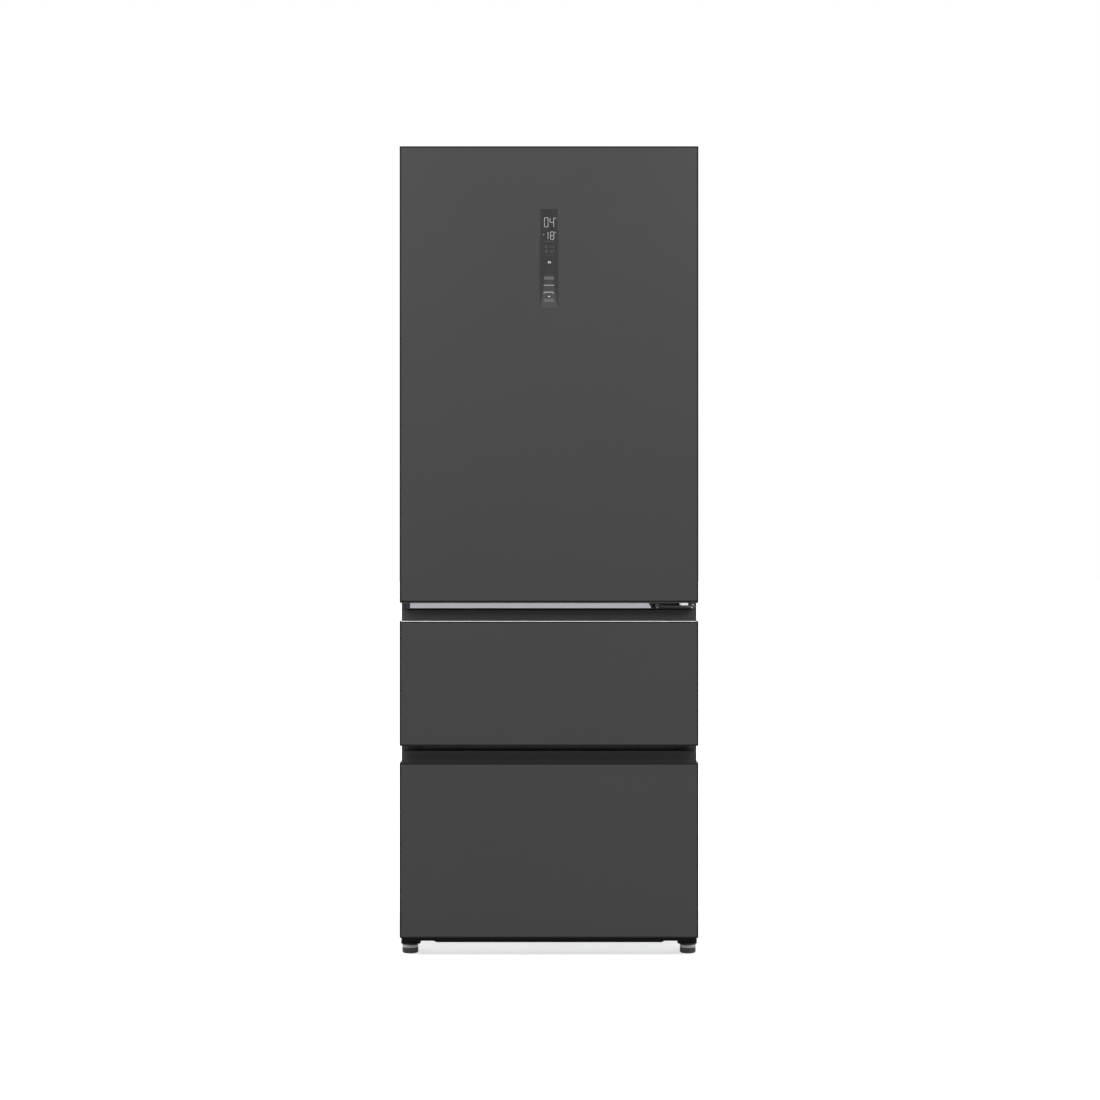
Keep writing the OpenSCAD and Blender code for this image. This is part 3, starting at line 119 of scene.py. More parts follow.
def signed_volume(points, faces):
    """Sixth of the sum, over the faces, of a corner's dot product with twice the area vector."""
    p = points[faces]
    area = np.cross(p[:, 1] - p[:, 0], p[:, 2] - p[:, 0])
    if faces.shape[1] == 4:
        area = area + np.cross(p[:, 2] - p[:, 0], p[:, 3] - p[:, 0])
    return float((p[:, 0] * area).sum() / 6)


class Form:
    """Closed surfaces gathered into one piece; each is turned so that its faces point outwards."""

    def __init__(self):
        self.groups = []

    def add(self, points, fours, threes=None, mirror=False):
        """Adds a surface, and on request its mirror image in the plane X = 0."""
        points = np.asarray(points, float).reshape(-1, 3)
        threes = np.zeros((0, 3), int) if threes is None else threes
        middle = points - points.mean(0)
        if signed_volume(middle, fours) + signed_volume(middle, threes) < 0:
            fours, threes = fours[:, ::-1], threes[:, ::-1]
        self.groups.append((points, fours, threes))
        if mirror:
            self.groups.append((points * [-1, 1, 1], fours[:, ::-1], threes[:, ::-1]))
        return self

    def piece(self, name, body, slot, nodes=(), crease=32, finish=None):
        """One object that rides on a body, smooth but for edges sharper than the crease angle. Without a
        finish of its own it has that of its slot."""
        counts = np.cumsum([0] + [len(g[0]) for g in self.groups])
        points = np.concatenate([g[0] for g in self.groups])
        fours = np.concatenate([g[1] + n for g, n in zip(self.groups, counts)])
        threes = np.concatenate([g[2] + n for g, n in zip(self.groups, counts)])
        mesh = bpy.data.meshes.new(name)
        mesh.vertices.add(len(points))
        mesh.vertices.foreach_set("co", points.astype(np.float32).ravel())
        corners = np.concatenate([fours.ravel(), threes.ravel()])
        mesh.loops.add(len(corners))
        mesh.loops.foreach_set("vertex_index", corners.astype(np.int32))
        starts = np.append(np.arange(len(fours)) * 4, len(fours) * 4 + np.arange(len(threes)) * 3)
        mesh.polygons.add(len(starts))
        mesh.polygons.foreach_set("loop_start", starts.astype(np.int32))
        mesh.update(calc_edges=True)
        mesh.validate()
        mesh.shade_smooth()
        mesh.set_sharp_from_angle(angle=math.radians(crease))
        mesh.materials.append(finish or FINISH[slot])
        made = bpy.data.objects.new(name, mesh)
        bpy.context.scene.collection.objects.link(made)
        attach(made, body)
        if nodes:
            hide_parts(*nodes)


def stacked(loops):
    """Closed surface over a stack of outlines of equal count, with a fan round the middle of each end."""
    loops = np.asarray(loops, float)
    rows, cols = loops.shape[:2]
    points = np.concatenate([loops.reshape(-1, 3), loops[0].mean(0)[None], loops[-1].mean(0)[None]])
    here = np.arange(cols)
    after = (here + 1) % cols
    top = (rows - 1) * cols
    pole = np.full(cols, rows * cols)
    fans = [np.stack([after, here, pole], 1), np.stack([here + top, after + top, pole + 1], 1)]
    return points, quads(rows, cols, wrap_cols=True), np.concatenate(fans)


def ringed(loops):
    """Closed ring over outlines of equal count, the last joined to the first."""
    loops = np.asarray(loops, float)
    return loops.reshape(-1, 3), quads(*loops.shape[:2], wrap_rows=True, wrap_cols=True)


def round_outline(x0, x1, y0, y1, r, steps=6):
    """Rectangle with round corners: quarter circles of radius r about four centres, joined in order."""
    least = 1e-5
    r = max(min(r, (x1 - x0) / 2, (y1 - y0) / 2), least)
    turn = np.arange(4)[:, None] * QUARTER + np.linspace(0, QUARTER, steps + 1)[None, :]
    centre = np.array([[x1 - r, y1 - r], [x0 + r, y1 - r], [x0 + r, y0 + r], [x1 - r, y0 + r]])
    return (centre[:, None, :] + r * np.stack([np.cos(turn), np.sin(turn)], -1)).reshape(-1, 2)


def placed(flat, level, order):
    """Outline points given a third coordinate; order names the axes of u, v and the level, as in 'xzy'."""
    columns = [flat[:, 0], flat[:, 1], np.full(len(flat), level)]
    return np.stack([columns[order.index(axis)] for axis in "xyz"], 1)


def profiled(stations, order):
    """Outlines of round-cornered rectangles, one for each station of u0, u1, v0, v1, level and radius."""
    return np.stack([placed(round_outline(*box, r), level, order) for *box, level, r in stations])


def grown(box, by, level, r):
    """Station of a rectangle grown on all sides."""
    return box[0] - by, box[1] + by, box[2] - by, box[3] + by, level, r


def soft_block(x0, x1, y0, y1, z0, z1, r, corner=None, order="xyz", steps=4):
    """Block with every edge rounded: its outline steps in along a quarter circle at both ends."""
    corner, box = corner or r, (x0, x1, y0, y1)
    edge = [(r * (math.cos(a) - 1), r * (1 - math.sin(a))) for a in np.linspace(0, QUARTER, steps + 1)]
    low = [grown(box, by, z0 + rise, corner + by) for by, rise in reversed(edge)]
    high = [grown(box, by, z1 - rise, corner + by) for by, rise in edge]
    return stacked(profiled(low + high, order))


def vessel(box, z0, z1, wall, corner, lean=(0, 0, 0, 0), foot=0.006, rim=0.0, lip=0.0025, order="xyz",
           mouth=None):
    """Open vessel as one wall: outlines climb outside from a rounded foot, turn over the rim and go down
    inside. The box is the mouth's; lean draws each side in at the foot, and mouth is the corner radius at
    the rim."""
    up = math.copysign(1, z1 - z0)
    height = abs(z1 - z0)
    mouth = mouth or corner

    def station(inset, climb, r):
        share = 1 - climb / height
        draw = [inset + amount * share for amount in lean]
        return box[0] + draw[0], box[1] - draw[1], box[2] + draw[2], box[3] - draw[3], z0 + up * climb, r

    least, neck = MM, 15 * MM
    below = height - max(lip, neck)
    inside = max(foot - wall, least)
    edge = 0.3 * lip
    arc = [(1 - math.sin(a), 1 - math.cos(a)) for a in np.linspace(0, QUARTER, 5)]
    rows = [station(foot * k, foot * climb, corner - foot * k) for k, climb in arc]
    rows += [station(0, below, corner), station(0, height - lip, mouth)]
    brim = [(edge, height - lip), (0, height - lip + edge), (0, height - edge), (edge, height)]
    rows += [(u0 - rim, u1 + rim, *rest) for u0, u1, *rest in (station(k, h, mouth) for k, h in brim)]
    rows += [station(wall - edge, height, mouth), station(wall, height - edge, mouth),
             station(wall, below, max(corner - wall, least))]
    rows += [station(wall + inside * k, wall + inside * sink, corner - wall - inside * k) for sink, k in arc]
    return stacked(profiled(rows, order))


def drawn(section, x0, x1, ease=0.001, order="yzx"):
    """Bar of one section along an axis, its ends drawn in a little towards the section's middle."""
    section = np.asarray(section, float)
    middle = section.mean(0)
    reach = np.linalg.norm(section - middle, axis=1).max()
    small = middle + (section - middle) * (1 - ease / reach)
    ends = [(small, x0), (section, x0 + ease), (section, x1 - ease), (small, x1)]
    return stacked([placed(flat, level, order) for flat, level in ends])


def turned(profile, centre, axis="z", sides=64):
    """Closed solid of revolution: pairs of radius and height turned about an axis through a centre."""
    profile = np.asarray(profile, float)
    a = np.linspace(0, TURN, sides, endpoint=False)
    r, h = profile[:, 0][:, None], profile[:, 1][:, None] + 0 * a[None, :]
    u, w = r * np.cos(a), r * np.sin(a)
    grid = {"z": (u, w, h), "y": (w, h, u), "x": (h, u, w)}[axis]
    return stacked(np.stack(grid, -1) + np.asarray(centre, float))


def bent(corners, r, steps=8):
    """Path through corner points whose bends are arcs: between the tangent points s and e about the
    centre c, c + (s sin(w - a) + e sin a) / sin w as a goes from 0 to w."""
    p = np.asarray(corners, float)
    a, b = p[:-2] - p[1:-1], p[2:] - p[1:-1]
    a /= np.linalg.norm(a, axis=1)[:, None]
    b /= np.linalg.norm(b, axis=1)[:, None]
    half = np.arccos((a * b).sum(1)) / 2
    mid = a + b
    c = p[1:-1] + mid / np.linalg.norm(mid, axis=1)[:, None] * (r / np.sin(half))[:, None]
    s = p[1:-1] + a * (r / np.tan(half))[:, None] - c
    e = p[1:-1] + b * (r / np.tan(half))[:, None] - c
    whole = (math.pi - 2 * half)[:, None, None]
    k = np.linspace(0, 1, steps + 1)[None, :, None]
    weighed = s[:, None] * np.sin(whole * (1 - k)) + e[:, None] * np.sin(whole * k)
    arcs = c[:, None] + weighed / np.sin(whole)
    return np.concatenate([p[:1], arcs.reshape(-1, 3), p[-1:]])


def tube(path, r, sides):
    """Round tube: circles of radius r square to the path, laid out from a slant no run is parallel to."""
    slant = [0.31, 0.87, 0.38]
    along = np.gradient(path, axis=0)
    along /= np.linalg.norm(along, axis=1)[:, None]
    side = np.cross(along, slant)
    side /= np.linalg.norm(side, axis=1)[:, None]
    up = np.cross(along, side)
    a = np.linspace(0, TURN, sides, endpoint=False)
    ring = np.cos(a)[None, :, None] * side[:, None] + np.sin(a)[None, :, None] * up[:, None]
    return stacked(path[:, None] + r * ring)


# Materials


class Wire:
    """An output socket that takes part in sums: each operator adds one Math node."""

    def __init__(self, graph, socket):
        self.graph, self.socket = graph, socket

    def _sum(self, operation, a, b):
        return self.graph.node("ShaderNodeMath", {"operation": operation}, {0: a, 1: b})

    def __add__(self, other):
        return self._sum("ADD", self, other)

    __radd__ = __add__

    def __sub__(self, other):
        return self._sum("SUBTRACT", self, other)

    def __rsub__(self, other):
        return self._sum("SUBTRACT", other, self)

    def __mul__(self, other):
        return self._sum("MULTIPLY", self, other)

    __rmul__ = __mul__

    def above(self, level):
        return self._sum("GREATER_THAN", self, level)

    def peak(self, other):
        return self._sum("MAXIMUM", self, other)

    def size(self):
        return self._sum("ABSOLUTE", self, 0)


class Graph:
    """The node tree of a material, or of the world."""

    def __init__(self, owner, coordinates="Object"):
        owner.use_nodes = True
        self.owner, self.tree = owner, owner.node_tree
        self.tree.nodes.clear()
        self.at = self.node("ShaderNodeTexCoord", out=coordinates)

    def node(self, kind, settings=None, inputs=None, out=0):
        """Adds a node of a type: its settings first, then the values or links of its sockets."""
        made = self.tree.nodes.new(kind)
        for key, value in (settings or {}).items():
            setattr(made, key, value)
        for key, value in (inputs or {}).items():
            socket = made.inputs[key]
            if isinstance(value, Wire):
                self.tree.links.new(value.socket, socket)
            else:
                socket.default_value = (*value, 1) if socket.type == "RGBA" else value
        return Wire(self, made.outputs[out])

    def close(self, shader, output):
        """Joins a shader to a new output node of a type."""
        self.tree.links.new(shader.socket, self.tree.nodes.new(output).inputs["Surface"])

    def place(self):
        """The three coordinates of a point."""
        return [self.node("ShaderNodeSeparateXYZ", {}, {"Vector": self.at}, axis) for axis in "XYZ"]

    def noise(self, scale, detail, stretch=None):
        """Smooth noise of so many waves to the metre, drawn out along an axis where its stretch is low."""
        at = self.at
        if stretch:
            at = self.node("ShaderNodeMapping", {}, {"Vector": at, "Scale": stretch}, "Vector")
        return self.node("ShaderNodeTexNoise", {}, {"Vector": at, "Scale": scale, "Detail": detail}, "Fac")

    def cells(self, scale, out="Distance"):
        return self.node("ShaderNodeTexVoronoi", {}, {"Vector": self.at, "Scale": scale}, out)

    def mix(self, a, b, share):
        """Colour between a and b by a share from 0 to 1."""
        return self.node("ShaderNodeMix", {"data_type": "RGBA"}, {"Factor": share, 6: a, 7: b}, 2)

    def shades(self, colour, share, spread=0.12):
        """A colour that grows darker and lighter by the spread as the share goes from 0 to 1."""
        dark, pale = (tuple(min(c * (1 + sign * spread), 1) for c in colour) for sign in (-1, 1))
        return self.mix(dark, pale, share)

    def bump(self, height, depth, strength=1.0):
        sockets = {"Height": height, "Distance": depth, "Strength": strength}
        return self.node("ShaderNodeBump", {}, sockets, "Normal")

    def finish(self, painted_shade_colour=None, share=0, **sockets):
        """Principled surface, mixed by a share with a matte colour that paints shade; underscores stand for
        spaces.
        """
        inputs = {key.replace("_", " "): value for key, value in sockets.items()}
        shader = self.node("ShaderNodeBsdfPrincipled", {}, inputs)
        if painted_shade_colour:
            matte = self.node("ShaderNodeBsdfDiffuse", {}, {"Color": painted_shade_colour})
            shader = self.node("ShaderNodeMixShader", {}, {"Fac": share, 1: shader, 2: matte})
        self.close(shader, "ShaderNodeOutputMaterial")
        return self.owner


def new_graph(name):
    return Graph(bpy.data.materials.new(name))


def lacquer(name, colour, rough, box=None, lip=None):
    """Matte lacquer: fine flecks, slow drift and a faint orange peel. With a front's box it paints shade
    round the folded edges in a darker matte colour, and with a lip's colour it paints a highlight along the
    top fold."""
    g = new_graph(name)
    fleck, drift, peel = g.noise(2600, 1), g.noise(1.6, 3), g.noise(420, 1)
    paint = g.shades(colour, 0.6 * fleck + 0.4 * drift, 0.16)
    rough = rough - 0.04 + 0.05 * drift + 0.05 * fleck
    painted_shade_colour, edge = None, 0
    if box:
        x, y, z = g.place()
        fold, lip_highlight_width = 3.7 * MM, 1.2 * MM
        # Painted shade: a matte colour at three tenths of the lacquer's, laid on the folded edges
        painted_shade_colour = tuple(c * 0.3 for c in colour)
        edge = x.size().above(box[1] - fold).peak((box[4] + fold - z).above(0))
        rim = (z - box[5] + fold).above(0)
        if lip:
            # Painted highlight: a narrow band along the top fold takes the lip's colour, with no painted
            # shade there
            bright = (z - box[5] + lip_highlight_width).above(0)
            paint = g.mix(paint, lip, bright)
            rim = rim - bright
        # The painted shade covers the side, bottom and top folds, and only near the front face
        edge = 0.9 * edge.peak(rim) * (1 - (y - box[2] - fold).above(0))
    return g.finish(painted_shade_colour, edge, Base_Color=paint, Roughness=rough, Normal=g.bump(peel, 0.00003, 0.6),
                    IOR=1.45, Specular_IOR_Level=0.12)


def moulded(name, colour, rough, grain=1900, depth=0.00004, drift_by=0.1, gloss=0.5):
    """Moulded plastic: spark-eroded grain, and gloss that drifts slowly over the surface."""
    g = new_graph(name)
    pits, drift = g.noise(grain, 2), g.noise(7, 3)
    return g.finish(
        Base_Color=g.shades(colour, 0.5 * pits + 0.5 * drift, drift_by),
        Roughness=rough - 0.05 + 0.1 * drift, Normal=g.bump(pits, depth), Specular_IOR_Level=gloss)


def footed(name, knob, band, level):
    """Foot plastic: a black grained knob below the level, and a smooth grey band rubbed paler above it."""
    g = new_graph(name)
    pits, rub = g.noise(1500, 2), g.noise(90, 3, (1, 1, 4))
    upper = g.place()[2].above(level)
    return g.finish(
        Base_Color=g.mix(g.shades(knob, pits, 0.3), g.shades(band, rub, 0.35), upper),
        Roughness=0.36 - 0.04 * upper + 0.08 * rub, Normal=g.bump(pits * (1 - upper), 0.00005))


def glossy(name, colour, rough, drift_by=0.03, coat=0.0):
    """Smooth vacuum-formed plastic: slight waves and a soft sheen."""
    g = new_graph(name)
    wave, drift = g.noise(34, 1), g.noise(3.2, 3)
    return g.finish(
        Base_Color=g.shades(colour, drift, drift_by), Roughness=rough - 0.03 + 0.06 * drift,
        Normal=g.bump(wave, 0.00012, 0.5), Coat_Weight=coat)


def clear(name, colour, rough, through, ior):
    """Clear plastic or glass: tinted, with faint flow marks in its gloss."""
    g = new_graph(name)
    flow, haze = g.noise(9, 3, (1, 1, 0.25)), g.noise(140, 2)
    return g.finish(
        Base_Color=g.shades(colour, flow, 0.03), Roughness=rough + 0.05 * haze * flow,
        Normal=g.bump(flow, 0.0001, 0.4), Transmission_Weight=through, IOR=ior)


def spangled(name, colour, rough):
    """Galvanised sheet: angular zinc crystals that differ in shade and gloss, with fine rolling lines."""
    g = new_graph(name)
    crystal = g.cells(95, out="Color")
    shade = g.node("ShaderNodeSeparateColor", {}, {"Color": crystal}, "Red")
    rolled = g.noise(700, 1, (1, 1, 0.02))
    return g.finish(
        Base_Color=g.shades(colour, 0.7 * shade + 0.3 * rolled, 0.16), Metallic=0.9,
        Roughness=rough + 0.14 * shade, Normal=g.bump(rolled + shade, 0.00003))


def plated(name, colour, rough):
    """Zinc plated steel: fine drawn lines along the depth and dull patches."""
    g = new_graph(name)
    lines, patch = g.noise(1300, 1, (1, 0.03, 1)), g.noise(16, 4)
    return g.finish(
        Base_Color=g.shades(colour, 0.5 * lines + 0.5 * patch, 0.12), Metallic=1.0,
        Roughness=rough + 0.14 * patch, Normal=g.bump(lines, 0.00002))


def rubbery(name, colour):
    """Soft rubber: powdery mottling and a fine skin."""
    g = new_graph(name)
    bloom, skin = g.noise(24, 4), g.noise(1500, 1)
    return g.finish(Base_Color=g.shades(colour, bloom, 0.22), Roughness=0.62 + 0.16 * bloom,
                    Normal=g.bump(skin, 0.00004))


def foamed(name, colour):
    """Cut polyurethane foam: closed cells and a slightly darker skin."""
    g = new_graph(name)
    cell, drift = g.cells(520), g.noise(12, 4)
    return g.finish(Base_Color=g.shades(colour, 0.6 * cell + 0.5 * drift, 0.2), Roughness=0.9 - 0.1 * cell,
                    Normal=g.bump(cell, 0.0004))


def coppered(name, colour):
    """Copper coated tube: dull lacquer over copper with darker oxide patches."""
    g = new_graph(name)
    patch, fine = g.noise(46, 5), g.noise(900, 1)
    return g.finish(
        Base_Color=g.mix(tuple(c * 0.45 for c in colour), colour, 1.3 * patch - 0.1 + 0.2 * fine),
        Metallic=0.85, Roughness=0.5 - 0.22 * patch, Normal=g.bump(fine, 0.00003))


def board(name, colour):
    """Circuit board: solder mask with paler tracks in a regular weave."""
    g = new_graph(name)
    track = g.node("ShaderNodeTexBrick", {}, {"Vector": g.at, "Scale": 90.0, "Mortar Size": 0.03}, "Fac")
    return g.finish(Base_Color=g.mix(colour, tuple(c * 2.4 for c in colour), track),
                    Roughness=0.4 - 0.1 * track, Normal=g.bump(track, 0.00005))


def lit(name, colour, power, flicker=0.08):
    """Marks or a lens lit from behind, a little unevenly."""
    g = new_graph(name)
    glow = g.shades(colour, g.noise(180, 1), flicker)
    return g.finish(Base_Color=glow, Roughness=0.5, Emission_Color=glow, Emission_Strength=power)


class FinishSettings(bpy.types.PropertyGroup):
    """Colours of the finishes that a user would change."""

    front: tint("Fronts", "Lacquer of the door and the drawer fronts", (0.03, 0.0297, 0.0293))
    shell: tint("Cabinet", "Lacquer of the cabinet's sides and top", (0.032, 0.0318, 0.0316))
    liner: tint("Liners", "White of the compartments and the inner door", (0.45, 0.456, 0.462))
    # This colour also paints the highlight along the top fold of the upper drawer front
    strip: tint("Grip strip", "Satin strip behind the door's pull channel", (0.49, 0.48, 0.51))
    front_roughness: number("Front roughness", "Mattness of the lacquered fronts", 0.42, 0.1, 1)


def finishes(look):
    """One material for each material slot of the record."""
    return {
        "front_paint": lacquer("front_lacquer", tuple(look.front), look.front_roughness),
        "shell_paint": lacquer("cabinet_lacquer", tuple(look.shell), 0.56),
        "zinc_sheet": spangled("galvanised_sheet", (0.42, 0.43, 0.44), 0.36),
        "zinc_steel": plated("zinc_plated_steel", (0.62, 0.63, 0.65), 0.26),
        "black_steel": moulded("black_coated_steel", (0.012, 0.012, 0.0125), 0.38, 900, 0.00003),
        "black_enamel": moulded("black_enamel", (0.01, 0.01, 0.0105), 0.3, 260, 0.00008),
        "black_plastic": moulded("grained_black_plastic", (0.019, 0.018, 0.0168), 0.46, gloss=0.35),
        "foot_plastic": footed("foot_plastic", (0.007, 0.007, 0.007), (0.22, 0.22, 0.22), 0.0132),
        "grey_plastic": moulded("satin_grey_plastic", (0.42, 0.43, 0.45), 0.4, 1600, 0.00002, 0.05),
        "liner": glossy("white_liner", tuple(look.liner), 0.32),
        "foam": foamed("insulating_foam", (0.75, 0.62, 0.34)),
        "clear_plastic": clear("clear_tinted_plastic", (0.92, 0.955, 0.97), 0.08, 0.93, 1.49),
        "lamp_lens": lit("frosted_lens", (0.95, 0.95, 0.93), 7, 0.03),
        "shelf_glass": clear("toughened_glass", (0.86, 0.95, 0.92), 0.02, 0.94, 1.5),
        "display_gloss": glossy("display_gloss", (0.0125, 0.0122, 0.0115), 0.2, 0.1, 0.3),
        "board": board("circuit_board", (0.012, 0.07, 0.03)),
        "satin_strip": plated("satin_strip", tuple(look.strip), 0.34),
        "bare_aluminium": plated("mill_aluminium", (0.72, 0.73, 0.75), 0.3),
        "tube_metal": coppered("copper_coated_tube", (0.46, 0.2, 0.1)),
        "white_bush": moulded("white_acetal", (0.93, 0.93, 0.92), 0.4, 1500, 0.000004, 0.02),
        "rubber": rubbery("black_rubber", (0.018, 0.018, 0.018)),
        "gasket_rubber": rubbery("sealing_rubber", (0.06, 0.06, 0.063)),
    }


def corners(node):
    """Lowest and highest corner of a CAD node, as six plain numbers x0, x1, y0, y1, z0, z1."""
    low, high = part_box(node)
    return low.x, high.x, low.y, high.y, low.z, high.z


class FRIDGE_OT_finish_nodes(bpy.types.Operator):
    """Gives every CAD node the finish of its material slot"""

    bl_idname = "fridge.finish_nodes"
    bl_label = "Finish the CAD parts"

    def execute(self, context):
        look = context.scene.fridge_finish
        FINISH.update(finishes(look))
        for name, made in frame["nodes"].items():
            made.data.materials.clear()
            made.data.materials.append(FINISH[SLOT_OF[name]])
        # Darker copy of the black plastic: painted shade for the plinth and the base brackets under the
        # cabinet
        shaded = moulded("plinth_plastic", (0.003, 0.003, 0.003), 0.7, gloss=0.1)
        for name in ("plinth", "base_brackets"):
            frame["nodes"][name].data.materials[0] = shaded
        # Each front's lacquer paints shade round its folded edges
        for name in ("door_skin", "upper_skin", "lower_skin"):
            # The upper drawer front gets a painted highlight along its top fold, in the grip strip's colour
            lip = tuple(look.strip) if name == "upper_skin" else None
            frame["nodes"][name].data.materials[0] = lacquer(
                f"{name}_lacquer", tuple(look.front), look.front_roughness, corners(name), lip)
        return {"FINISHED"}


# Pieces


class FRIDGE_OT_seals(bpy.types.Operator):
    """Magnetic seals: a base, a folded bellows and a flat magnet bulb carried round each opening"""

    bl_idname = "fridge.seals"
    bl_label = "Magnetic seals"

    def execute(self, context):
        width, depth = 15, 9.7
        corner, inner_corner = 6, 0.8
        half = [(0.4, 0), (0, 0.5), (0, 1.7), (0.5, 2.3), (3.4, 2.5), (4.4, 3.1), (3.6, 3.9), (1.9, 4.6),
                (1.1, 5.6), (1.0, 7.9), (1.5, 9.0), (2.8, 9.65)]
        section = half + [(width / 2, depth)] + [(width - u, d) for u, d in reversed(half)]
        for node, body in (("door_gasket", "door"), ("upper_gasket", "upper_drawer"),
                           ("lower_gasket", "lower_drawer")):
            x0, x1, y0, _, z0, z1 = corners(node)
            stations = [grown((x0, x1, z0, z1), -u * MM, y0 + d * MM, max(corner - u, inner_corner) * MM)
                        for u, d in section]
            Form().add(*ringed(profiled(stations, "xzy"))).piece(
                node.replace("gasket", "seal"), body, "gasket_rubber", [node], 40)
        return {"FINISHED"}


class FootSettings(bpy.types.PropertyGroup):
    """Shape of the levelling feet."""

    flutes: count("Flutes", "Flutes round a foot", 24, 8, 48)
    flute_depth: length("Flute depth", "Depth of the flutes", 0.0012, 0, 0.003)


class FRIDGE_OT_feet(bpy.types.Operator):
    """Levelling feet: a band over a fluted knob, radius less depth times a raised cosine of the angle"""

    bl_idname = "fridge.feet"
    bl_label = "Levelling feet"

    def execute(self, context):
        look = context.scene.fridge_foot
        foot, neck, thread = 19, 8, 4
        profile = np.array([
            (foot - 2.2, 0.0), (foot - 1.6, 0.2), (foot - 0.4, 1.5), (foot - 0.1, 1.9), (foot, 2.4),
            (foot, 2.9), (foot, 3.4), (foot, 7), (foot, 11), (foot, 11.8), (foot, 12.3), (foot, 12.7),
            (foot - 0.7, 13.0), (foot - 0.7, 13.4), (foot, 13.7), (foot, 15), (foot, 18.9),
            (foot - 0.2, 19.5), (foot - 0.8, 19.9), (neck, 20), (neck, 21), (thread, 21.2), (thread, 43.5),
            (thread - 0.5, 44),
        ]) * MM
        fluted = np.array([2.4, 3.4, 11.8, 12.7]) * MM
        cut = np.interp(profile[:, 1], fluted, [0, 1, 1, 0])
        points_per_flute = 10
        a = np.linspace(0, TURN, look.flutes * points_per_flute, endpoint=False)
        flute = (0.5 + 0.5 * np.cos(look.flutes * a)) ** 2
        r = profile[:, 0][:, None] - look.flute_depth * cut[:, None] * flute[None, :]
        h = profile[:, 1][:, None] + 0 * a[None, :]
        for node in ("left_foot", "right_foot"):
            x0, x1, y0, y1, _, _ = corners(node)
            loops = np.stack([r * np.cos(a) + (x0 + x1) / 2, r * np.sin(a) + (y0 + y1) / 2, h], -1)
            Form().add(*stacked(loops)).piece(f"levelling_{node}", node, "foot_plastic", [node], 38)
        return {"FINISHED"}


class DisplaySettings(bpy.types.PropertyGroup):
    """Figures and glow of the display."""

    fridge_figure: count("Fridge figure", "Degrees shown for the fridge", 4, 0, 19)
    freezer_figure: count("Freezer figure", "Degrees below zero shown for the freezer", 18, 10, 29)
    glow: number("Glow", "Light of the marks", 0.35, 0, 5)
    # Painted glow: the key marks are off, yet they glow faintly on top of their grey colour
    painted_key_glow: number("Dim glow", "Light of the marks that are off", 0.3, 0, 5)


SEGMENTS = {"a": (0, 2, 1, 2), "b": (1, 1, 1, 2), "c": (1, 0, 1, 1), "d": (0, 0, 1, 0), "e": (0, 0, 0, 1),
            "f": (0, 1, 0, 2), "g": (0, 1, 1, 1)}
FIGURES = ["abcdef", "bc", "abged", "abgcd", "fgbc", "afgcd", "afgedc", "abc", "abcdefg", "abcdfg"]


class Marks:
    """Flat marks on the display. Their places and sizes are in millimetres: a point's are across from the
    middle of the lens and down from its top edge."""

    def __init__(self, top, front, back):
        self.form, self.top, self.faces = Form(), top, (front, back)

    def at(self, across, down):
        return np.array([across * MM, self.top - down * MM])

    def bar(self, start, end, width):
        """Bar between two points, its ends cut to points."""
        start, end = self.at(*start), self.at(*end)
        tip = (end - start) / np.linalg.norm(end - start) * width * MM / 2
        side = np.array([-tip[1], tip[0]])
        flat = [start, start + tip + side, end - tip + side, end, end - tip - side, start + tip - side]
        self.form.add(*stacked([placed(np.array(flat), y, "xzy") for y in self.faces]))

    def ring(self, across, down, radius, width, sides=28):
        """Ring round a point."""
        x, z = self.at(across, down)
        outer, inner = radius * MM, (radius - width) * MM
        front, back = self.faces
        a = np.linspace(0, TURN, sides, endpoint=False)
        self.form.add(*ringed([np.stack([x + r * np.cos(a), np.full(sides, y), z + r * np.sin(a)], 1)
                               for r, y in ((outer, front), (inner, front), (inner, back), (outer, back))]))

    def block(self, left, down, width, height, corner):
        """Rounded block whose lower left corner is given."""
        edge = 0.05 * MM
        x, z = self.at(left, down)
        box = x, x + width * MM, z, z + height * MM
        self.form.add(*soft_block(*box, *self.faces, edge, corner * MM, "xzy"))

    def figure(self, digit, left, down, width, height, stroke):
        """Seven-segment figure whose lower left corner is given, with a gap at each segment's ends."""
        gap = 0.16 * stroke
        for part in FIGURES[digit]:
            u0, v0, u1, v1 = SEGMENTS[part]
            start = np.array([left + u0 * width, down - v0 * height / 2])
            end = np.array([left + u1 * width, down - v1 * height / 2])
            step = (end - start) / np.linalg.norm(end - start) * gap
            self.bar(start + step, end - step, stroke)


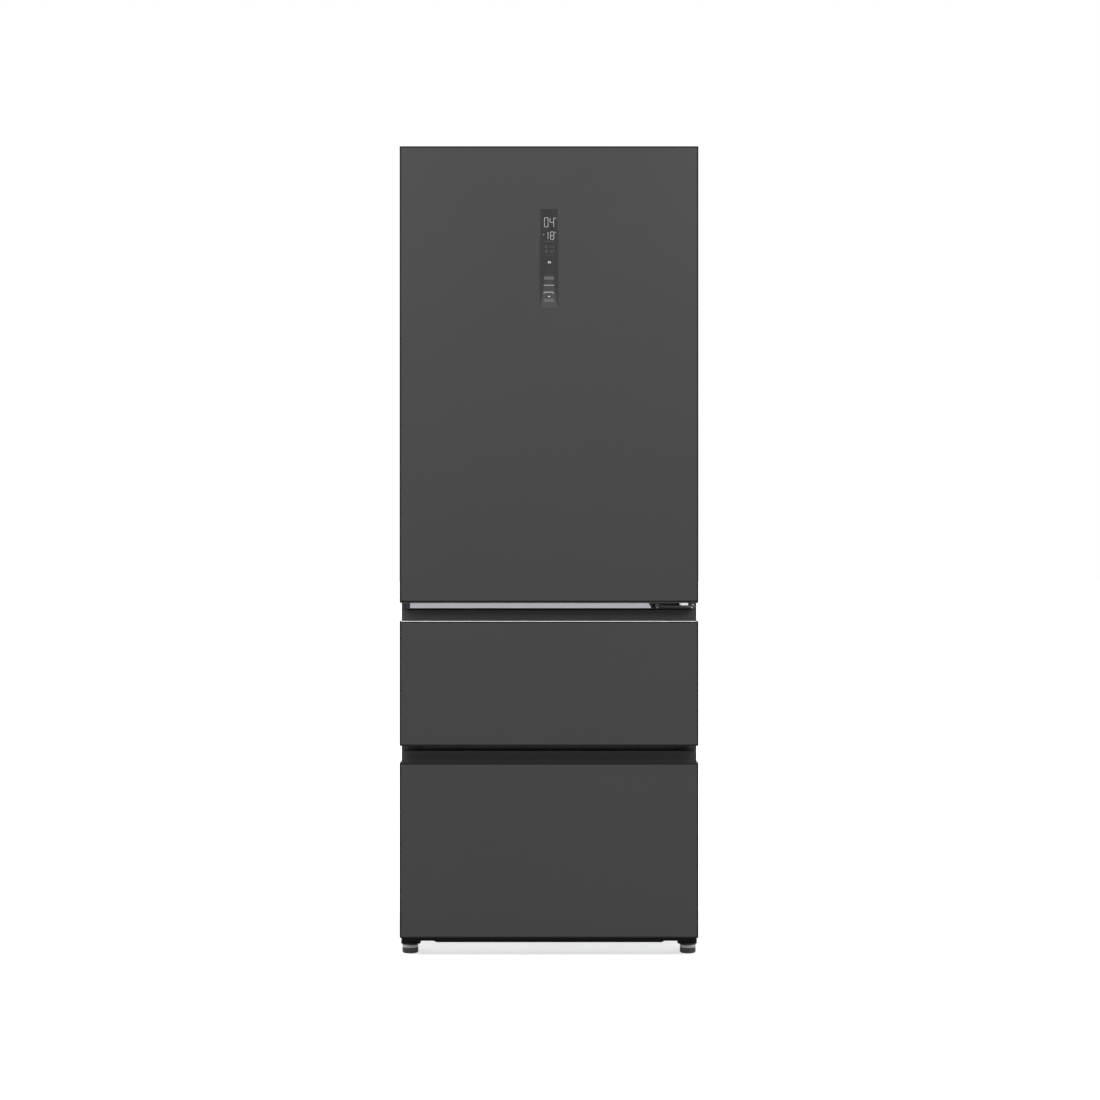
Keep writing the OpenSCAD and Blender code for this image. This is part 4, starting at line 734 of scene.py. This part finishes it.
class FRIDGE_OT_display(bpy.types.Operator):
    """Touch display: a black glossy lens with a ground edge, lit figures and dim key marks"""

    bl_idname = "fridge.display"
    bl_label = "Touch display"

    def execute(self, context):
        look = context.scene.fridge_display
        x0, x1, y0, y1, z0, z1 = corners("display_lens")
        set_back, sunk, proud = 0.25 * MM, 0.1 * MM, 0.12 * MM
        face = y0 + set_back
        Form().add(*soft_block(x0, x1, z0, z1, face, y1, 0.4 * MM, 2 * MM, "xzy")).piece(
            "display_panel", "door", "display_gloss", ["display_lens"], 40)
        bright, dim = (Marks(z1, face - proud, face + sunk) for _ in range(2))
        self.mark_figures(bright, look)
        self.mark_keys(dim)
        self.mark_foot(bright)
        bright.form.piece("display_figures", "door", "display_gloss",
                          finish=lit("lit_marks", (0.2, 0.203, 0.21), look.glow))
        # The key marks are grey print with a faint painted glow
        dim.form.piece("display_keys", "door", "display_gloss",
                       finish=lit("dim_marks", (0.034, 0.034, 0.036), look.painted_key_glow))
        return {"FINISHED"}

    def mark_figures(self, marks, look):
        """The fridge's figure over the freezer's, each with a degree ring, and two small lamps below."""
        stroke = 1.2
        for digit, left in zip(divmod(look.fridge_figure, 10), (-10.8, 2.4)):
            marks.figure(digit, left, down=40.8, width=8.6, height=21.5, stroke=stroke)
        marks.ring(14.1, 20.5, radius=1.8, width=0.6)
        minus = 59.2
        marks.bar((-14.2, minus), (-10.8, minus), width=1.4)
        for digit, left, width in zip(divmod(look.freezer_figure, 10), (-7.8, 3.4), (5.6, 7.8)):
            marks.figure(digit, left, down=69.7, width=width, height=17.2, stroke=stroke)
        marks.ring(14.6, 53.8, radius=1.5, width=0.6)
        for left in (-2.6, 1.2):
            marks.block(left, down=126.2, width=3.2, height=4.8, corner=0.4)

    def mark_keys(self, marks):
        """A row of dashes, two rows of a ring and two strokes, four dots, and two round-cornered keys."""
        dashes = 74.5
        for left in -10.5 + 4.2 * np.arange(6):
            marks.bar((left, dashes), (left + 3, dashes), width=1.6)
        for down in (86.8, 98.0):
            marks.ring(-6.2, down, radius=3.2, width=0.9)
            for across in (4.2, 10.8):
                marks.bar((across, down + 3.4), (across, down - 3.4), width=1.3)
        for across in -8 + 5.2 * np.arange(4):
            marks.ring(across, 107.2, radius=0.9, width=0.5, sides=12)
        for down, height in ((164.4, 7.4), (216.8, 7.8)):
            marks.block(-12, down, width=23.8, height=height, corner=1.2)

    def mark_foot(self, marks):
        """A row of lit dashes, and a line with two short sides over a small bar."""
        dashes, line, bar = 177.5, 193.6, 203.6
        for left in -12.2 + 5 * np.arange(5):
            marks.bar((left, dashes), (left + 3.8, dashes), width=2.4)
        marks.bar((-12.2, line), (10.6, line), width=1.5)
        for across in (-11.5, 9.9):
            marks.bar((across, line + 4.2), (across, line - 0.6), width=1.2)
        marks.bar((-2.4, bar), (3.2, bar), width=3)


def islands(node):
    """Boxes of a node's separate solids, lowest first: the least label spreads along edges until none
    changes."""
    made = frame["nodes"][node]
    flat = np.empty(len(made.data.vertices) * 3, np.float32)
    made.data.vertices.foreach_get("co", flat)
    ends = np.empty(len(made.data.edges) * 2, np.int32)
    made.data.edges.foreach_get("vertices", ends)
    turn = np.array(made.matrix_world)
    whole = np.round(flat.reshape(-1, 3) @ turn[:3, :3].T + turn[:3, 3], 6)
    points, joined = np.unique(whole, axis=0, return_inverse=True)
    a, b = joined.ravel()[ends.reshape(-1, 2)].T
    label, before = np.arange(len(points)), None
    while before is None or (label != before).any():
        before = label.copy()
        np.minimum.at(label, a, before[b])
        np.minimum.at(label, b, before[a])
        label = label[label]
    solids = [points[label == k] for k in np.unique(label)]
    boxes = [np.stack([solid.min(0), solid.max(0)], 1).ravel() for solid in solids]
    return sorted(boxes, key=lambda box: box[4])


class BinSettings(bpy.types.PropertyGroup):
    """Walls of the bins and drawers."""

    wall: length("Wall", "Wall of the clear bins", 0.0025, 0.001, 0.005)
    ribs: count("Ribs", "Ribs under a drawer's rim", 9, 0, 20)


class FRIDGE_OT_bins(bpy.types.Operator):
    """Clear moulded bins: round feet, drawn sides, turned rims and ribs under them"""

    bl_idname = "fridge.bins"
    bl_label = "Bins and drawers"

    def execute(self, context):
        look = context.scene.fridge_bin
        for node, body, rim, lean, corner in (
                ("upper_bin", "upper_drawer", 0.0040, 0.007, 0.02),
                ("lower_bin", "lower_drawer", 0.012, 0.007, 0.02),
                ("lower_tray", "tray", 0.0037, 0.004, 0.016)):
            self.drawer(node, body, look, rim, lean, corner)
        for node in ("left_crisper", "right_crisper"):
            self.crisper(node, look.wall)
        self.door_bins(look.wall)
        return {"FINISHED"}

    def drawer(self, node, body, look, rim, lean, corner):
        """Deep drawer with upright ribs on its front wall."""
        x0, x1, y0, y1, z0, z1 = corners(node)
        half, edge, inset = 1.2 * MM, 0.8 * MM, 50 * MM
        low, high = z0 + 20 * MM, z1 - 12 * MM
        face = y0 + lean
        mouth = x0 + rim, x1 - rim, y0, y1
        form = Form().add(*vessel(mouth, z0, z1, look.wall, corner, [lean] * 4, rim=rim))
        for x in np.linspace(x0 + inset, x1 - inset, look.ribs):
            form.add(*soft_block(x - half, x + half, face + 0.5 * MM, face + 3 * MM, low, high, edge))
        form.piece(f"clear_{node}", body, "clear_plastic", [node])

    def crisper(self, node, wall):
        """Crisper with a hooked pull over about half of its front rim. The hook's section is in millimetres
        back and up from the top of its face."""
        x0, x1, y0, y1, z0, z1 = corners(node)
        front, corner, lean = y0 + 9 * MM, 14 * MM, 5 * MM
        form = Form().add(*vessel((x0, x1, front, y1), z0, z1, wall, corner, [lean] * 4))
        bend, centre, root = 5, (7.5, -7.8), 12.5
        hook = [(root, 0), (1, -0.8), (0, -2.2), (0, -13), (1.2, -14.5), (2.4, -13)]
        hook += [(centre[0] - bend * math.cos(k), centre[1] + bend * math.sin(k))
                 for k in np.linspace(0.15, 1.35, 5)]
        section = np.array(hook + [(root, -4)]) * MM + (y0, z1)
        middle, half = (x0 + x1) / 2, 0.275 * (x1 - x0)
        form.add(*drawn(section, middle - half, middle + half))
        form.piece(f"clear_{node}", node, "clear_plastic", [node])

    def door_bins(self, wall):
        """Bins of the door, each with a rounded trim along its front rim."""
        form = Form()
        proud, corner, lean = 2 * MM, 18 * MM, 10 * MM
        inset, bite, height, edge = 17 * MM, 3.5 * MM, 9 * MM, 1.8 * MM
        for x0, x1, y0, y1, z0, z1 in islands("door_bins"):
            front = y1 - proud
            form.add(*vessel((x0, x1, y0, front), z0, z1, wall, corner, (0, 0, 0, lean)))
            form.add(*soft_block(x0 + inset, x1 - inset, front - bite, y1, z1 - height, z1, edge))
        form.piece("clear_door_bins", "door", "clear_plastic", ["door_bins"])


class FRIDGE_OT_liners(bpy.types.Operator):
    """Vacuum-formed liners: coved corners, rounded ledges, and a door liner with two soft dykes"""

    bl_idname = "fridge.liners"
    bl_label = "Liners"

    def execute(self, context):
        wall = 2 * MM
        self.fridge_liner(wall)
        self.door_liner(wall)
        return {"FINISHED"}

    def fridge_liner(self, wall):
        """The compartment, with a ledge at each end of a shelf and two rails under each crisper."""
        x0, x1, y0, y1, z0, z1 = corners("fridge_liner")
        cove = 14 * MM
        form = Form().add(*vessel(
            (x0, x1, z0, z1), y1, y0, wall, cove, foot=cove, lip=MM, order="xzy", mouth=3 * MM))
        bite = ease = MM
        root, tip = x1 - wall + bite, x1 - wall - 8 * MM
        drop, short = 6 * MM, 6 * MM
        for _, _, front, back, z, _ in islands("shelf_frames"):
            low = z - drop
            section = [(root, low - 4 * MM), (tip, low), (tip, z - ease), (tip + ease, z), (root, z)]
            form.add(*drawn(section, front + short, back, 3 * MM, "xzy"), mirror=True)
        inset, half, short, edge, gap = 13 * MM, 5 * MM, 17 * MM, 1.5 * MM, 0.3 * MM
        low = z0 + wall - bite
        for node in ("left_crisper", "right_crisper"):
            left, right, front, back, bottom, _ = corners(node)
            for x in (left + inset, right - inset):
                form.add(*soft_block(x - half, x + half, front + short, back, low, bottom - gap, edge))
        form.piece("moulded_fridge_liner", "root", "liner", ["fridge_liner"])

    def door_liner(self, wall):
        """The inner door: a panel with folded flanges, two dykes and a stop under each end of a bin."""
        _, flange, y0, y1, z0, z1 = corners("door_liner")
        panel, ledge, side = corners("door_gasket")[2], y0 + wall, flange - 8 * MM
        form = Form().add(*soft_block(-side, side, z0, z1, panel - wall, panel, 0.8 * MM, 4 * MM, "xzy"))
        ease = 0.7 * MM
        fold = [(side - wall, panel - wall), (side - wall, y0), (flange, y0), (flange, ledge - ease),
                (flange - ease, ledge), (side + ease, ledge), (side, ledge + ease), (side, panel - wall)]
        low, high = corners("door_bottom_cap")[5], corners("door_top_cap")[4]
        form.add(*drawn(fold, low, high, 0.2 * MM, "xyz"), mirror=True)
        bins = islands("door_bins")
        inner, bite = bins[0][1] + 3 * MM, MM
        form.add(*self.dyke(inner, bins[0][4] - 20.3 * MM, corners("fridge_liner")[5] - wall - 20 * MM,
                            panel, y1, bite), mirror=True)
        out, reach, thick, edge, gap = 8 * MM, 60 * MM, 8 * MM, 1.8 * MM, 0.3 * MM
        for z in [box[4] - gap for box in bins]:
            form.add(*soft_block(inner - out, inner + bite, panel - bite, panel + reach, z - thick, z, edge),
                     mirror=True)
        form.piece("moulded_door_liner", "door", "liner", ["door_liner"])

    def dyke(self, inner, low, high, panel, crest, bite):
        """Wall that stands off the panel: it flares by a falling exponential at its root, its ends draw in
        with height, and its crest turns in on a quarter circle."""
        thick, flare, lean, corner, r = 18 * MM, 6 * MM, 0.3, 5 * MM, 6 * MM
        rows = [(inner, inner + thick + flare * math.exp(-k / flare), low + lean * k, high - lean * k,
                 panel - bite + k, corner) for k in np.linspace(0, crest - panel - r, 9)]
        u0, u1, v0, v1, level, _ = rows[-1]
        side, sharper = 0.7, 3 * MM
        for a in np.linspace(0.3, QUARTER, 5):
            by = r * (1 - math.cos(a))
            rows.append((u0 + side * by, u1 - side * by, v0 + by, v1 - by,
                         level + (crest - level) * math.sin(a), corner - sharper * math.sin(a)))
        return stacked(profiled(rows, "xzy"))


class MachineSettings(bpy.types.PropertyGroup):
    """Tubes of the machine room."""

    tube_r: length("Tube radius", "Radius of the refrigerant tubes", 0.003, 0.002, 0.005)
    bend_r: length("Bend radius", "Radius of the condenser's bends", 0.0095, 0.006, 0.0098)
    runs: count("Runs", "Runs of the condenser", 10, 2, 10)


class FRIDGE_OT_machine(bpy.types.Operator):
    """Machine room: welded compressor with its terminal box, bent tubes, condenser, clips and drip tray"""

    bl_idname = "fridge.machine"
    bl_label = "Machine room"

    def execute(self, context):
        look = context.scene.fridge_machine
        stub = self.compressor()
        self.clips(look, *self.tubes(look, *stub))
        x0, x1, y0, y1, z0, z1 = corners("drip_tray")
        Form().add(*vessel((x0, x1, y0, y1), z0, z1, 2 * MM, 12 * MM, [8 * MM] * 4)).piece(
            "moulded_drip_tray", "root", "black_plastic", ["drip_tray"])
        return {"FINISHED"}

    def compressor(self):
        """Two pressed shells with a welded belt on a foot plate, three stubs and the terminal box. Returns
        the middle stub's place and the spread of the three."""
        _, x1, y0, _, z0, z1 = corners("compressor")
        _, _, tray_front, tray_back, _, _ = corners("drip_tray")
        plate, half_w, half_d = 3.5 * MM, 85 * MM, 62 * MM
        cx, cy = x1 - half_w, 0.5 * (tray_front + tray_back)
        radius, dome, belt = 72 * MM, 30 * MM, 75 * MM
        low, lean = z0 + 3 * MM, 0.4 * MM
        height = z1 - low
        t = np.linspace(0, QUARTER, 9)
        weld = [(0, -0.6), (2.2, -0.2), (2.9, 0.6), (3, 4.2), (2.2, 5), (-0.4, 5.4), (-0.4, 6.8)]
        profile = [(20 * MM, 0), (radius - dome, 0)]
        profile += [(radius - dome + dome * math.sin(a), dome - dome * math.cos(a)) for a in t[1:]]
        profile += [(radius + out * MM, belt + up * MM) for out, up in weld]
        shoulder = radius - dome - lean
        profile += [(shoulder + dome * math.cos(a), height - dome + dome * math.sin(a)) for a in t]
        profile += [(18 * MM, height), (16 * MM, height - 0.8 * MM), (4 * MM, height - MM)]
        form = Form().add(*turned([(r, low + h) for r, h in profile], (cx, cy, 0), sides=96))
        form.add(*soft_block(cx - half_w, cx + half_w, cy - half_d, cy + half_d, z0, z0 + plate,
                             1.2 * MM, 12 * MM))
        stub_x, stub_z, spread = cx - radius - 9 * MM, z0 + height / 2 - 14.5 * MM, 24 * MM
        stub = np.array([(3.1, 0), (4.2, 0.2), (4.5, 1.2), (4.5, 8), (5.2, 10.5), (6.8, 14)]) * MM
        for y in (cy - spread, cy, cy + spread):
            form.add(*turned(stub, (stub_x, y, stub_z), "x", 24))
        form.piece("welded_compressor", "root", "black_enamel", ["compressor"], 30)
        left, low, high = cx + radius * 0.7, z0 + belt - 44 * MM, z0 + belt - 4 * MM
        box = Form().add(*soft_block(left, left + radius * 0.55, y0, y0 + radius, low, high, 3 * MM, 4 * MM))
        box.add(*soft_block(left + 12 * MM, left + 28 * MM, y0, y0 + 50 * MM, high - 3 * MM, high + 1.2 * MM,
                            0.6 * MM))
        box.piece("terminal_box", "root", "black_plastic")
        return stub_x, cy, stub_z, spread

    def tubes(self, look, stub_x, stub_y, stub_z, spread):
        """One tube from the front stub through the condenser and up, one up from the middle stub, and a
        nipped end on the rear one. Returns the condenser's ends, plane, lowest run, step and foot."""
        left, _, _, rear, low, top = corners("refrigerant_pipes")
        r, step, inset, run, sides = look.tube_r, 20 * MM, 20 * MM, 250 * MM, 16
        x0, y, z0 = left + r + inset, rear - 12 * MM, low + 24 * MM
        x1 = x0 + run
        gap = stub_x - x1
        out, front, floor = stub_x - gap * 0.45, stub_y - spread, z0 - step
        path = [(stub_x, front, stub_z), (out, front, stub_z), (out, front, floor),
                (x0 - inset, front, floor), (x0 - inset, y, floor), (x0 - inset, y, z0), (x1, y, z0)]
        ends = [(x0, x1) if k % 2 == 0 else (x1, x0) for k in range(look.runs)]
        path += [(x, y, z0 + k * step) for k in range(1, look.runs) for x in ends[k]]
        path += [(ends[-1][1], y, top)]
        form = Form().add(*tube(bent(path, look.bend_r), r, sides))
        rise, turn_z, shift = stub_x - gap * 0.25, top - 38 * MM, 30 * MM
        path = [(stub_x, stub_y, stub_z), (rise, stub_y, stub_z), (rise, stub_y, turn_z),
                (rise, stub_y - shift, turn_z), (rise, stub_y - shift, top)]
        form.add(*tube(bent(path, 12 * MM), r, sides))
        nipped = [(r * 0.6, 0), (r, MM), (r, 12 * MM), (r, 16 * MM)]
        form.add(*turned(nipped, (stub_x - 16 * MM, stub_y + spread, stub_z), "x", sides))
        form.piece("refrigerant_tubes", "root", "tube_metal", ["refrigerant_pipes"], 40)
        return x0, x1, y, z0, step, low

    def clips(self, look, x0, x1, y, z0, step, low):
        """Two sheet uprights behind the condenser, each with a foot and a finger over every run."""
        r, thick, depth, edge = look.tube_r, 2 * MM, 12 * MM, 0.6 * MM
        form = Form()
        for x in (x0 + 30 * MM, x1 - 50 * MM):
            high = z0 + look.runs * step - 8 * MM
            form.add(*soft_block(x, x + thick, y + r + 0.5 * MM, y + depth, low, high, edge))
            form.add(*soft_block(x, x + thick, y - depth, y + depth, low, low + depth, edge))
            for k in range(look.runs):
                z = z0 + k * step + r
                form.add(*soft_block(x, x + thick, y - 9 * MM, y + 11 * MM, z + 0.4 * MM, z + 3 * MM, edge))
        form.piece("condenser_clips", "root", "zinc_steel")


class FRIDGE_OT_hinges(bpy.types.Operator):
    """Soft cover over the top hinge, and pan-head screws with a cross recess"""

    bl_idname = "fridge.hinges"
    bl_label = "Hinge cover and screws"

    def execute(self, context):
        Form().add(*soft_block(*corners("top_hinge_cover"), 3.5 * MM, 9 * MM, steps=6)).piece(
            "moulded_hinge_cover", "root", "black_plastic", ["top_hinge_cover"])
        turn = np.linspace(0, TURN, 48, endpoint=False)
        lobes = (0.5 + 0.5 * np.cos(4 * turn)) ** 2
        shank, dome, ease = 3 * MM, 2.6 * MM, 0.3 * MM
        cross, depth, land = 2.4 * MM, 1.6 * MM, 0.6 * MM
        form = Form()
        for x0, x1, y0, y1, z0, z1 in islands("hinge_screws"):
            r, seat = (x1 - x0) / 2, z1 - dome
            rim = cross + land
            rows = [(shank, z0 + ease), (shank, seat - 0.4 * MM), (r - ease, seat - 0.4 * MM)]
            rows += [(rim + (r - rim) * math.cos(k), seat + dome * math.sin(k))
                     for k in np.linspace(0, QUARTER, 7)]
            recess = [(cross, z1), (cross * 0.9, z1 - depth * 0.4), (cross * 0.3, z1 - depth)]
            in_recess = np.arange(len(rows + recess))[:, None] >= len(rows)
            rows = np.array(rows + recess)
            radius = rows[:, :1] * np.where(in_recess, 0.4 + 0.6 * lobes, 1)
            x, y = radius * np.cos(turn) + (x0 + x1) / 2, radius * np.sin(turn) + (y0 + y1) / 2
            form.add(*stacked(np.stack([x, y, rows[:, 1:] + 0 * radius], -1)))
        form.piece("pan_head_screws", "root", "zinc_steel", ["hinge_screws"], 35,
                   moulded("zinc_flake_coat", (0.86, 0.86, 0.87), 0.42, 1500, 0.000004, 0.05))
        return {"FINISHED"}


class FanSettings(bpy.types.PropertyGroup):
    """Shape of the evaporator's fan."""

    blades: count("Blades", "Blades of the fan", 5, 2, 9)
    root_pitch: number("Root pitch", "Blade angle at the hub", 0.75, 0.1, 1.2, unit="ROTATION")
    tip_pitch: number("Tip pitch", "Blade angle at the tip", 0.42, 0.1, 1.2, unit="ROTATION")


def blade(look, phase, centre, root, tip, middle):
    """Fan blade: sections along the radius whose pitch eases from root to tip, bowed by 1 - s squared and
    thickest at mid chord, laid round the axis by arc length over radius."""
    chord, camber, half = 12.5 * MM, 1.4 * MM, 0.9 * MM
    span = np.linspace(0, 1, 12)[:, None]
    s = np.linspace(-1, 1, 11)
    s = np.concatenate([s, s[::-1][1:-1]])[None, :]
    face = np.concatenate([np.ones(11), -np.ones(9)])[None, :]
    radius = root + (tip - root) * span
    pitch = look.root_pitch + (look.tip_pitch - look.root_pitch) * span
    reach = chord * s * (1 + 0.25 * span) * np.sqrt(1 - 0.75 * span ** 8)
    bow = camber * (1 - s ** 2) + face * half * (1 - 0.85 * s ** 2)
    along = reach * np.cos(pitch) - bow * np.sin(pitch)
    depth = reach * np.sin(pitch) * 0.95 + bow * np.cos(pitch)
    angle = phase + along / radius
    return stacked(np.stack([centre[0] + radius * np.sin(angle), middle + depth,
                             centre[1] + radius * np.cos(angle)], -1))


class FRIDGE_OT_turning(bpy.types.Operator):
    """Evaporator fan with twisted blades on a domed hub, and rollers with soft treads"""

    bl_idname = "fridge.turning"
    bl_label = "Fan and rollers"

    def execute(self, context):
        self.fan(context.scene.fridge_fan)
        for node in ("left_roller", "right_roller"):
            self.roller(node)
        return {"FINISHED"}

    def fan(self, look):
        """Hub with a shaft through it, and the blades round it."""
        x0, x1, y0, y1, z0, z1 = corners("evaporator_fan")
        centre, tip = ((x0 + x1) / 2, (z0 + z1) / 2), (x1 - x0) / 2 - 0.3 * MM
        hub, deep, shaft, whole = 14, 18, 2, (y1 - y0) / MM
        profile = [(shaft, 0.6), (hub - 5, 0.8), (hub - 1.5, 2.2), (hub, 5), (hub, deep - 1),
                   (hub - 1, deep), (hub - 2, deep), (hub - 2, deep - 6), (shaft + 3, deep - 6),
                   (shaft + 2, deep + 2), (shaft, deep + 3), (shaft, whole - 0.4), (shaft - 0.4, whole)]
        form = Form().add(*turned(np.array(profile) * MM, (centre[0], y0, centre[1]), "y"))
        for k in range(look.blades):
            form.add(*blade(look, k * TURN / look.blades, centre, (hub - 1) * MM, tip, y0 + deep * MM / 2))
        form.piece("moulded_fan", "evaporator_fan", "grey_plastic", ["evaporator_fan"], 40)

    def roller(self, node):
        """Wheel with a bored hub, dished sides and a tread split by a groove."""
        x0, x1, y0, y1, z0, z1 = corners(node)
        r, half, bore, ease = (z1 - z0) / 2, (x1 - x0) / 2, 4.05 * MM, 1.6 * MM
        deep, chamfer, dish, groove = 0.6 * MM, 0.4 * MM, MM, 0.8 * MM
        side = [(bore, half - chamfer), (bore + chamfer, half), (bore + 2 * MM, half),
                (bore + 2.4 * MM, half - dish), (r - 3 * MM, half - dish)]
        side += [(r - ease + ease * math.sin(k), half - ease + ease * math.cos(k))
                 for k in np.linspace(0, QUARTER, 5)]
        side += [(r, half / 2), (r - deep, half / 2 - groove)]
        section = np.array(side + [(q, -w) for q, w in reversed(side)])
        a = np.linspace(0, TURN, 48, endpoint=False)
        q, w = section[:, :1], section[:, 1:] + 0 * a
        y, z = q * np.cos(a) + (y0 + y1) / 2, q * np.sin(a) + (z0 + z1) / 2
        loops = np.stack([w + (x0 + x1) / 2, y, z], -1)
        Form().add(*ringed(loops)).piece(f"treaded_{node}", node, "rubber", [node], 40)


# Stage


class StageSettings(bpy.types.PropertyGroup):
    """Camera and light of the picture."""

    lens: number("Lens", "Focal length on a 36 mm sensor", 70, 20, 200)
    height: length("Camera height", "Height of the camera over the floor", 0.954, 0, 3)
    aside: length("Camera aside", "Camera's place to the right of the middle", 0.0023, -2, 2)
    distance: length("Distance", "From the front faces to the camera", 5.009, 2, 20)
    key: number("Key lights", "Power of each large light before the front", 64, 0, 2000, unit="POWER")
    fill: number("Side lights", "Power of each light at the sides and the rear", 24, 0, 2000, unit="POWER")
    overhead: number("Overhead light", "Strength of the soft light from above", 1.2, 0, 10)
    floor_glow: number("Floor glow", "Light of the lit table under the object", 0.62, 0, 2)
    sky: number("Surround", "Brightness of the surround behind the object", 1.0, 0, 5)
    front_sky: number("Front surround", "Brightness of the surround before the object", 0.4, 0, 5)


def area_light(name, place, aim, size, power):
    """Square soft light that faces the aim point."""
    light = bpy.data.lights.new(name, "AREA")
    light.shape, light.size, light.energy = "SQUARE", size, power
    made = bpy.data.objects.new(name, light)
    made.location = place
    way = np.subtract(aim, place)
    made.rotation_euler = (math.acos(-way[2] / np.linalg.norm(way)), 0, math.atan2(-way[0], way[1]))
    bpy.context.scene.collection.objects.link(made)


def surround(rear, front):
    """World that is bright behind the object and round the horizon, and dimmer high up in front of it."""
    world = bpy.data.worlds.new("surround")
    g = Graph(world, "Generated")
    _, along, up = g.place()

    def fade(value, start, end, low, high):
        span = {"Value": value, "From Min": start, "From Max": end, "To Min": low, "To Max": high}
        return g.node("ShaderNodeMapRange", {"interpolation_type": "SMOOTHSTEP"}, span, "Result")

    glow = fade(along, -0.5, 0.6, front, rear).peak(fade(up, 0.03, 0.11, rear, 0.0))
    g.close(g.node("ShaderNodeBackground", {}, {"Color": (1.0, 1.0, 1.0), "Strength": glow}),
            "ShaderNodeOutputWorld")
    return world


def pale_floor(glow):
    """Wide round floor as a lit table, its top just under the feet."""
    g = new_graph("pale_floor")
    drift = g.noise(0.8, 3)
    finish = g.finish(Base_Color=g.shades((0.62, 0.62, 0.62), drift, 0.01), Roughness=0.85 + 0.05 * drift,
                      Emission_Color=(1.0, 1.0, 1.0), Emission_Strength=glow)
    sides, below = 96, 0.2 * MM
    a = np.linspace(0, TURN, sides, endpoint=False)
    radii = np.array([0.001, 1, 3, 8, 20, 60])[:, None]
    points = np.stack([radii * np.cos(a), radii * np.sin(a), 0 * radii * a - below], -1)
    mesh = bpy.data.meshes.new("floor")
    mesh.from_pydata(points.reshape(-1, 3).tolist(), [], quads(len(radii), sides, wrap_cols=True).tolist())
    mesh.materials.append(finish)
    floor = bpy.data.objects.new("floor", mesh)
    bpy.context.scene.collection.objects.link(floor)


class FRIDGE_OT_stage(bpy.types.Operator):
    """Pale floor, white surround, soft lights and the camera"""

    bl_idname = "fridge.stage"
    bl_label = "Stage"

    def execute(self, context):
        look = context.scene.fridge_stage
        pale_floor(look.floor_glow)
        context.scene.world = surround(look.sky, look.front_sky)
        context.scene.view_settings.view_transform = "Standard"
        for side, name in ((-1, "key_light"), (1, "second_key_light")):
            area_light(name, (side * 1.6, -2.2, 2.7), (0, -0.3, 1.75), 1.1, look.key)
        area_light("left_light", (-4.2, -0.6, 2.0), (0, 0, 0.9), 2.0, look.fill)
        area_light("right_light", (4.2, -0.2, 2.0), (0, 0, 0.9), 2.0, look.fill)
        area_light("rear_light", (1.2, 4.0, 2.8), (0, 0, 0.8), 2.2, look.fill)
        sun = bpy.data.lights.new("overhead_light", "SUN")
        sun.energy, sun.angle = look.overhead, math.radians(100)
        context.scene.collection.objects.link(bpy.data.objects.new("overhead_light", sun))
        camera = bpy.data.cameras.new("camera")
        camera.lens, camera.sensor_width, camera.clip_end = look.lens, 36, 200
        made = bpy.data.objects.new("camera", camera)
        made.location = (look.aside, CAD_BOX[0].y - look.distance, look.height)
        made.rotation_euler = (QUARTER, 0, 0)
        context.scene.collection.objects.link(made)
        context.scene.camera = made
        return {"FINISHED"}


class FRIDGE_PT_panel(bpy.types.Panel):
    """The pieces and their sizes"""

    bl_idname = "FRIDGE_PT_panel"
    bl_label = "Fridge freezer"
    bl_space_type = "VIEW_3D"
    bl_region_type = "UI"
    bl_category = "Fridge"

    def draw(self, context):
        for group, names in PROPERTIES.items():
            box = self.layout.box()
            for key in names.__annotations__:
                box.prop(getattr(context.scene, group), key)
        for operator in OPERATORS:
            self.layout.operator(operator.bl_idname)


PROPERTIES = {"fridge_finish": FinishSettings, "fridge_foot": FootSettings,
              "fridge_display": DisplaySettings, "fridge_bin": BinSettings,
              "fridge_machine": MachineSettings, "fridge_fan": FanSettings, "fridge_stage": StageSettings}
OPERATORS = (FRIDGE_OT_finish_nodes, FRIDGE_OT_seals, FRIDGE_OT_feet, FRIDGE_OT_display, FRIDGE_OT_bins,
             FRIDGE_OT_liners, FRIDGE_OT_machine, FRIDGE_OT_hinges, FRIDGE_OT_turning, FRIDGE_OT_stage)


def register():
    for item in (*PROPERTIES.values(), *OPERATORS, FRIDGE_PT_panel):
        bpy.utils.register_class(item)
    for key, group in PROPERTIES.items():
        setattr(bpy.types.Scene, key, bpy.props.PointerProperty(type=group))


def unregister():
    for key in PROPERTIES:
        delattr(bpy.types.Scene, key)
    for item in (FRIDGE_PT_panel, *reversed(OPERATORS), *PROPERTIES.values()):
        bpy.utils.unregister_class(item)


def main():
    """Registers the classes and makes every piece."""
    register()
    for operator in OPERATORS:
        group, name = operator.bl_idname.split(".")
        getattr(getattr(bpy.ops, group), name)()


if __name__ == "__main__":
    main()
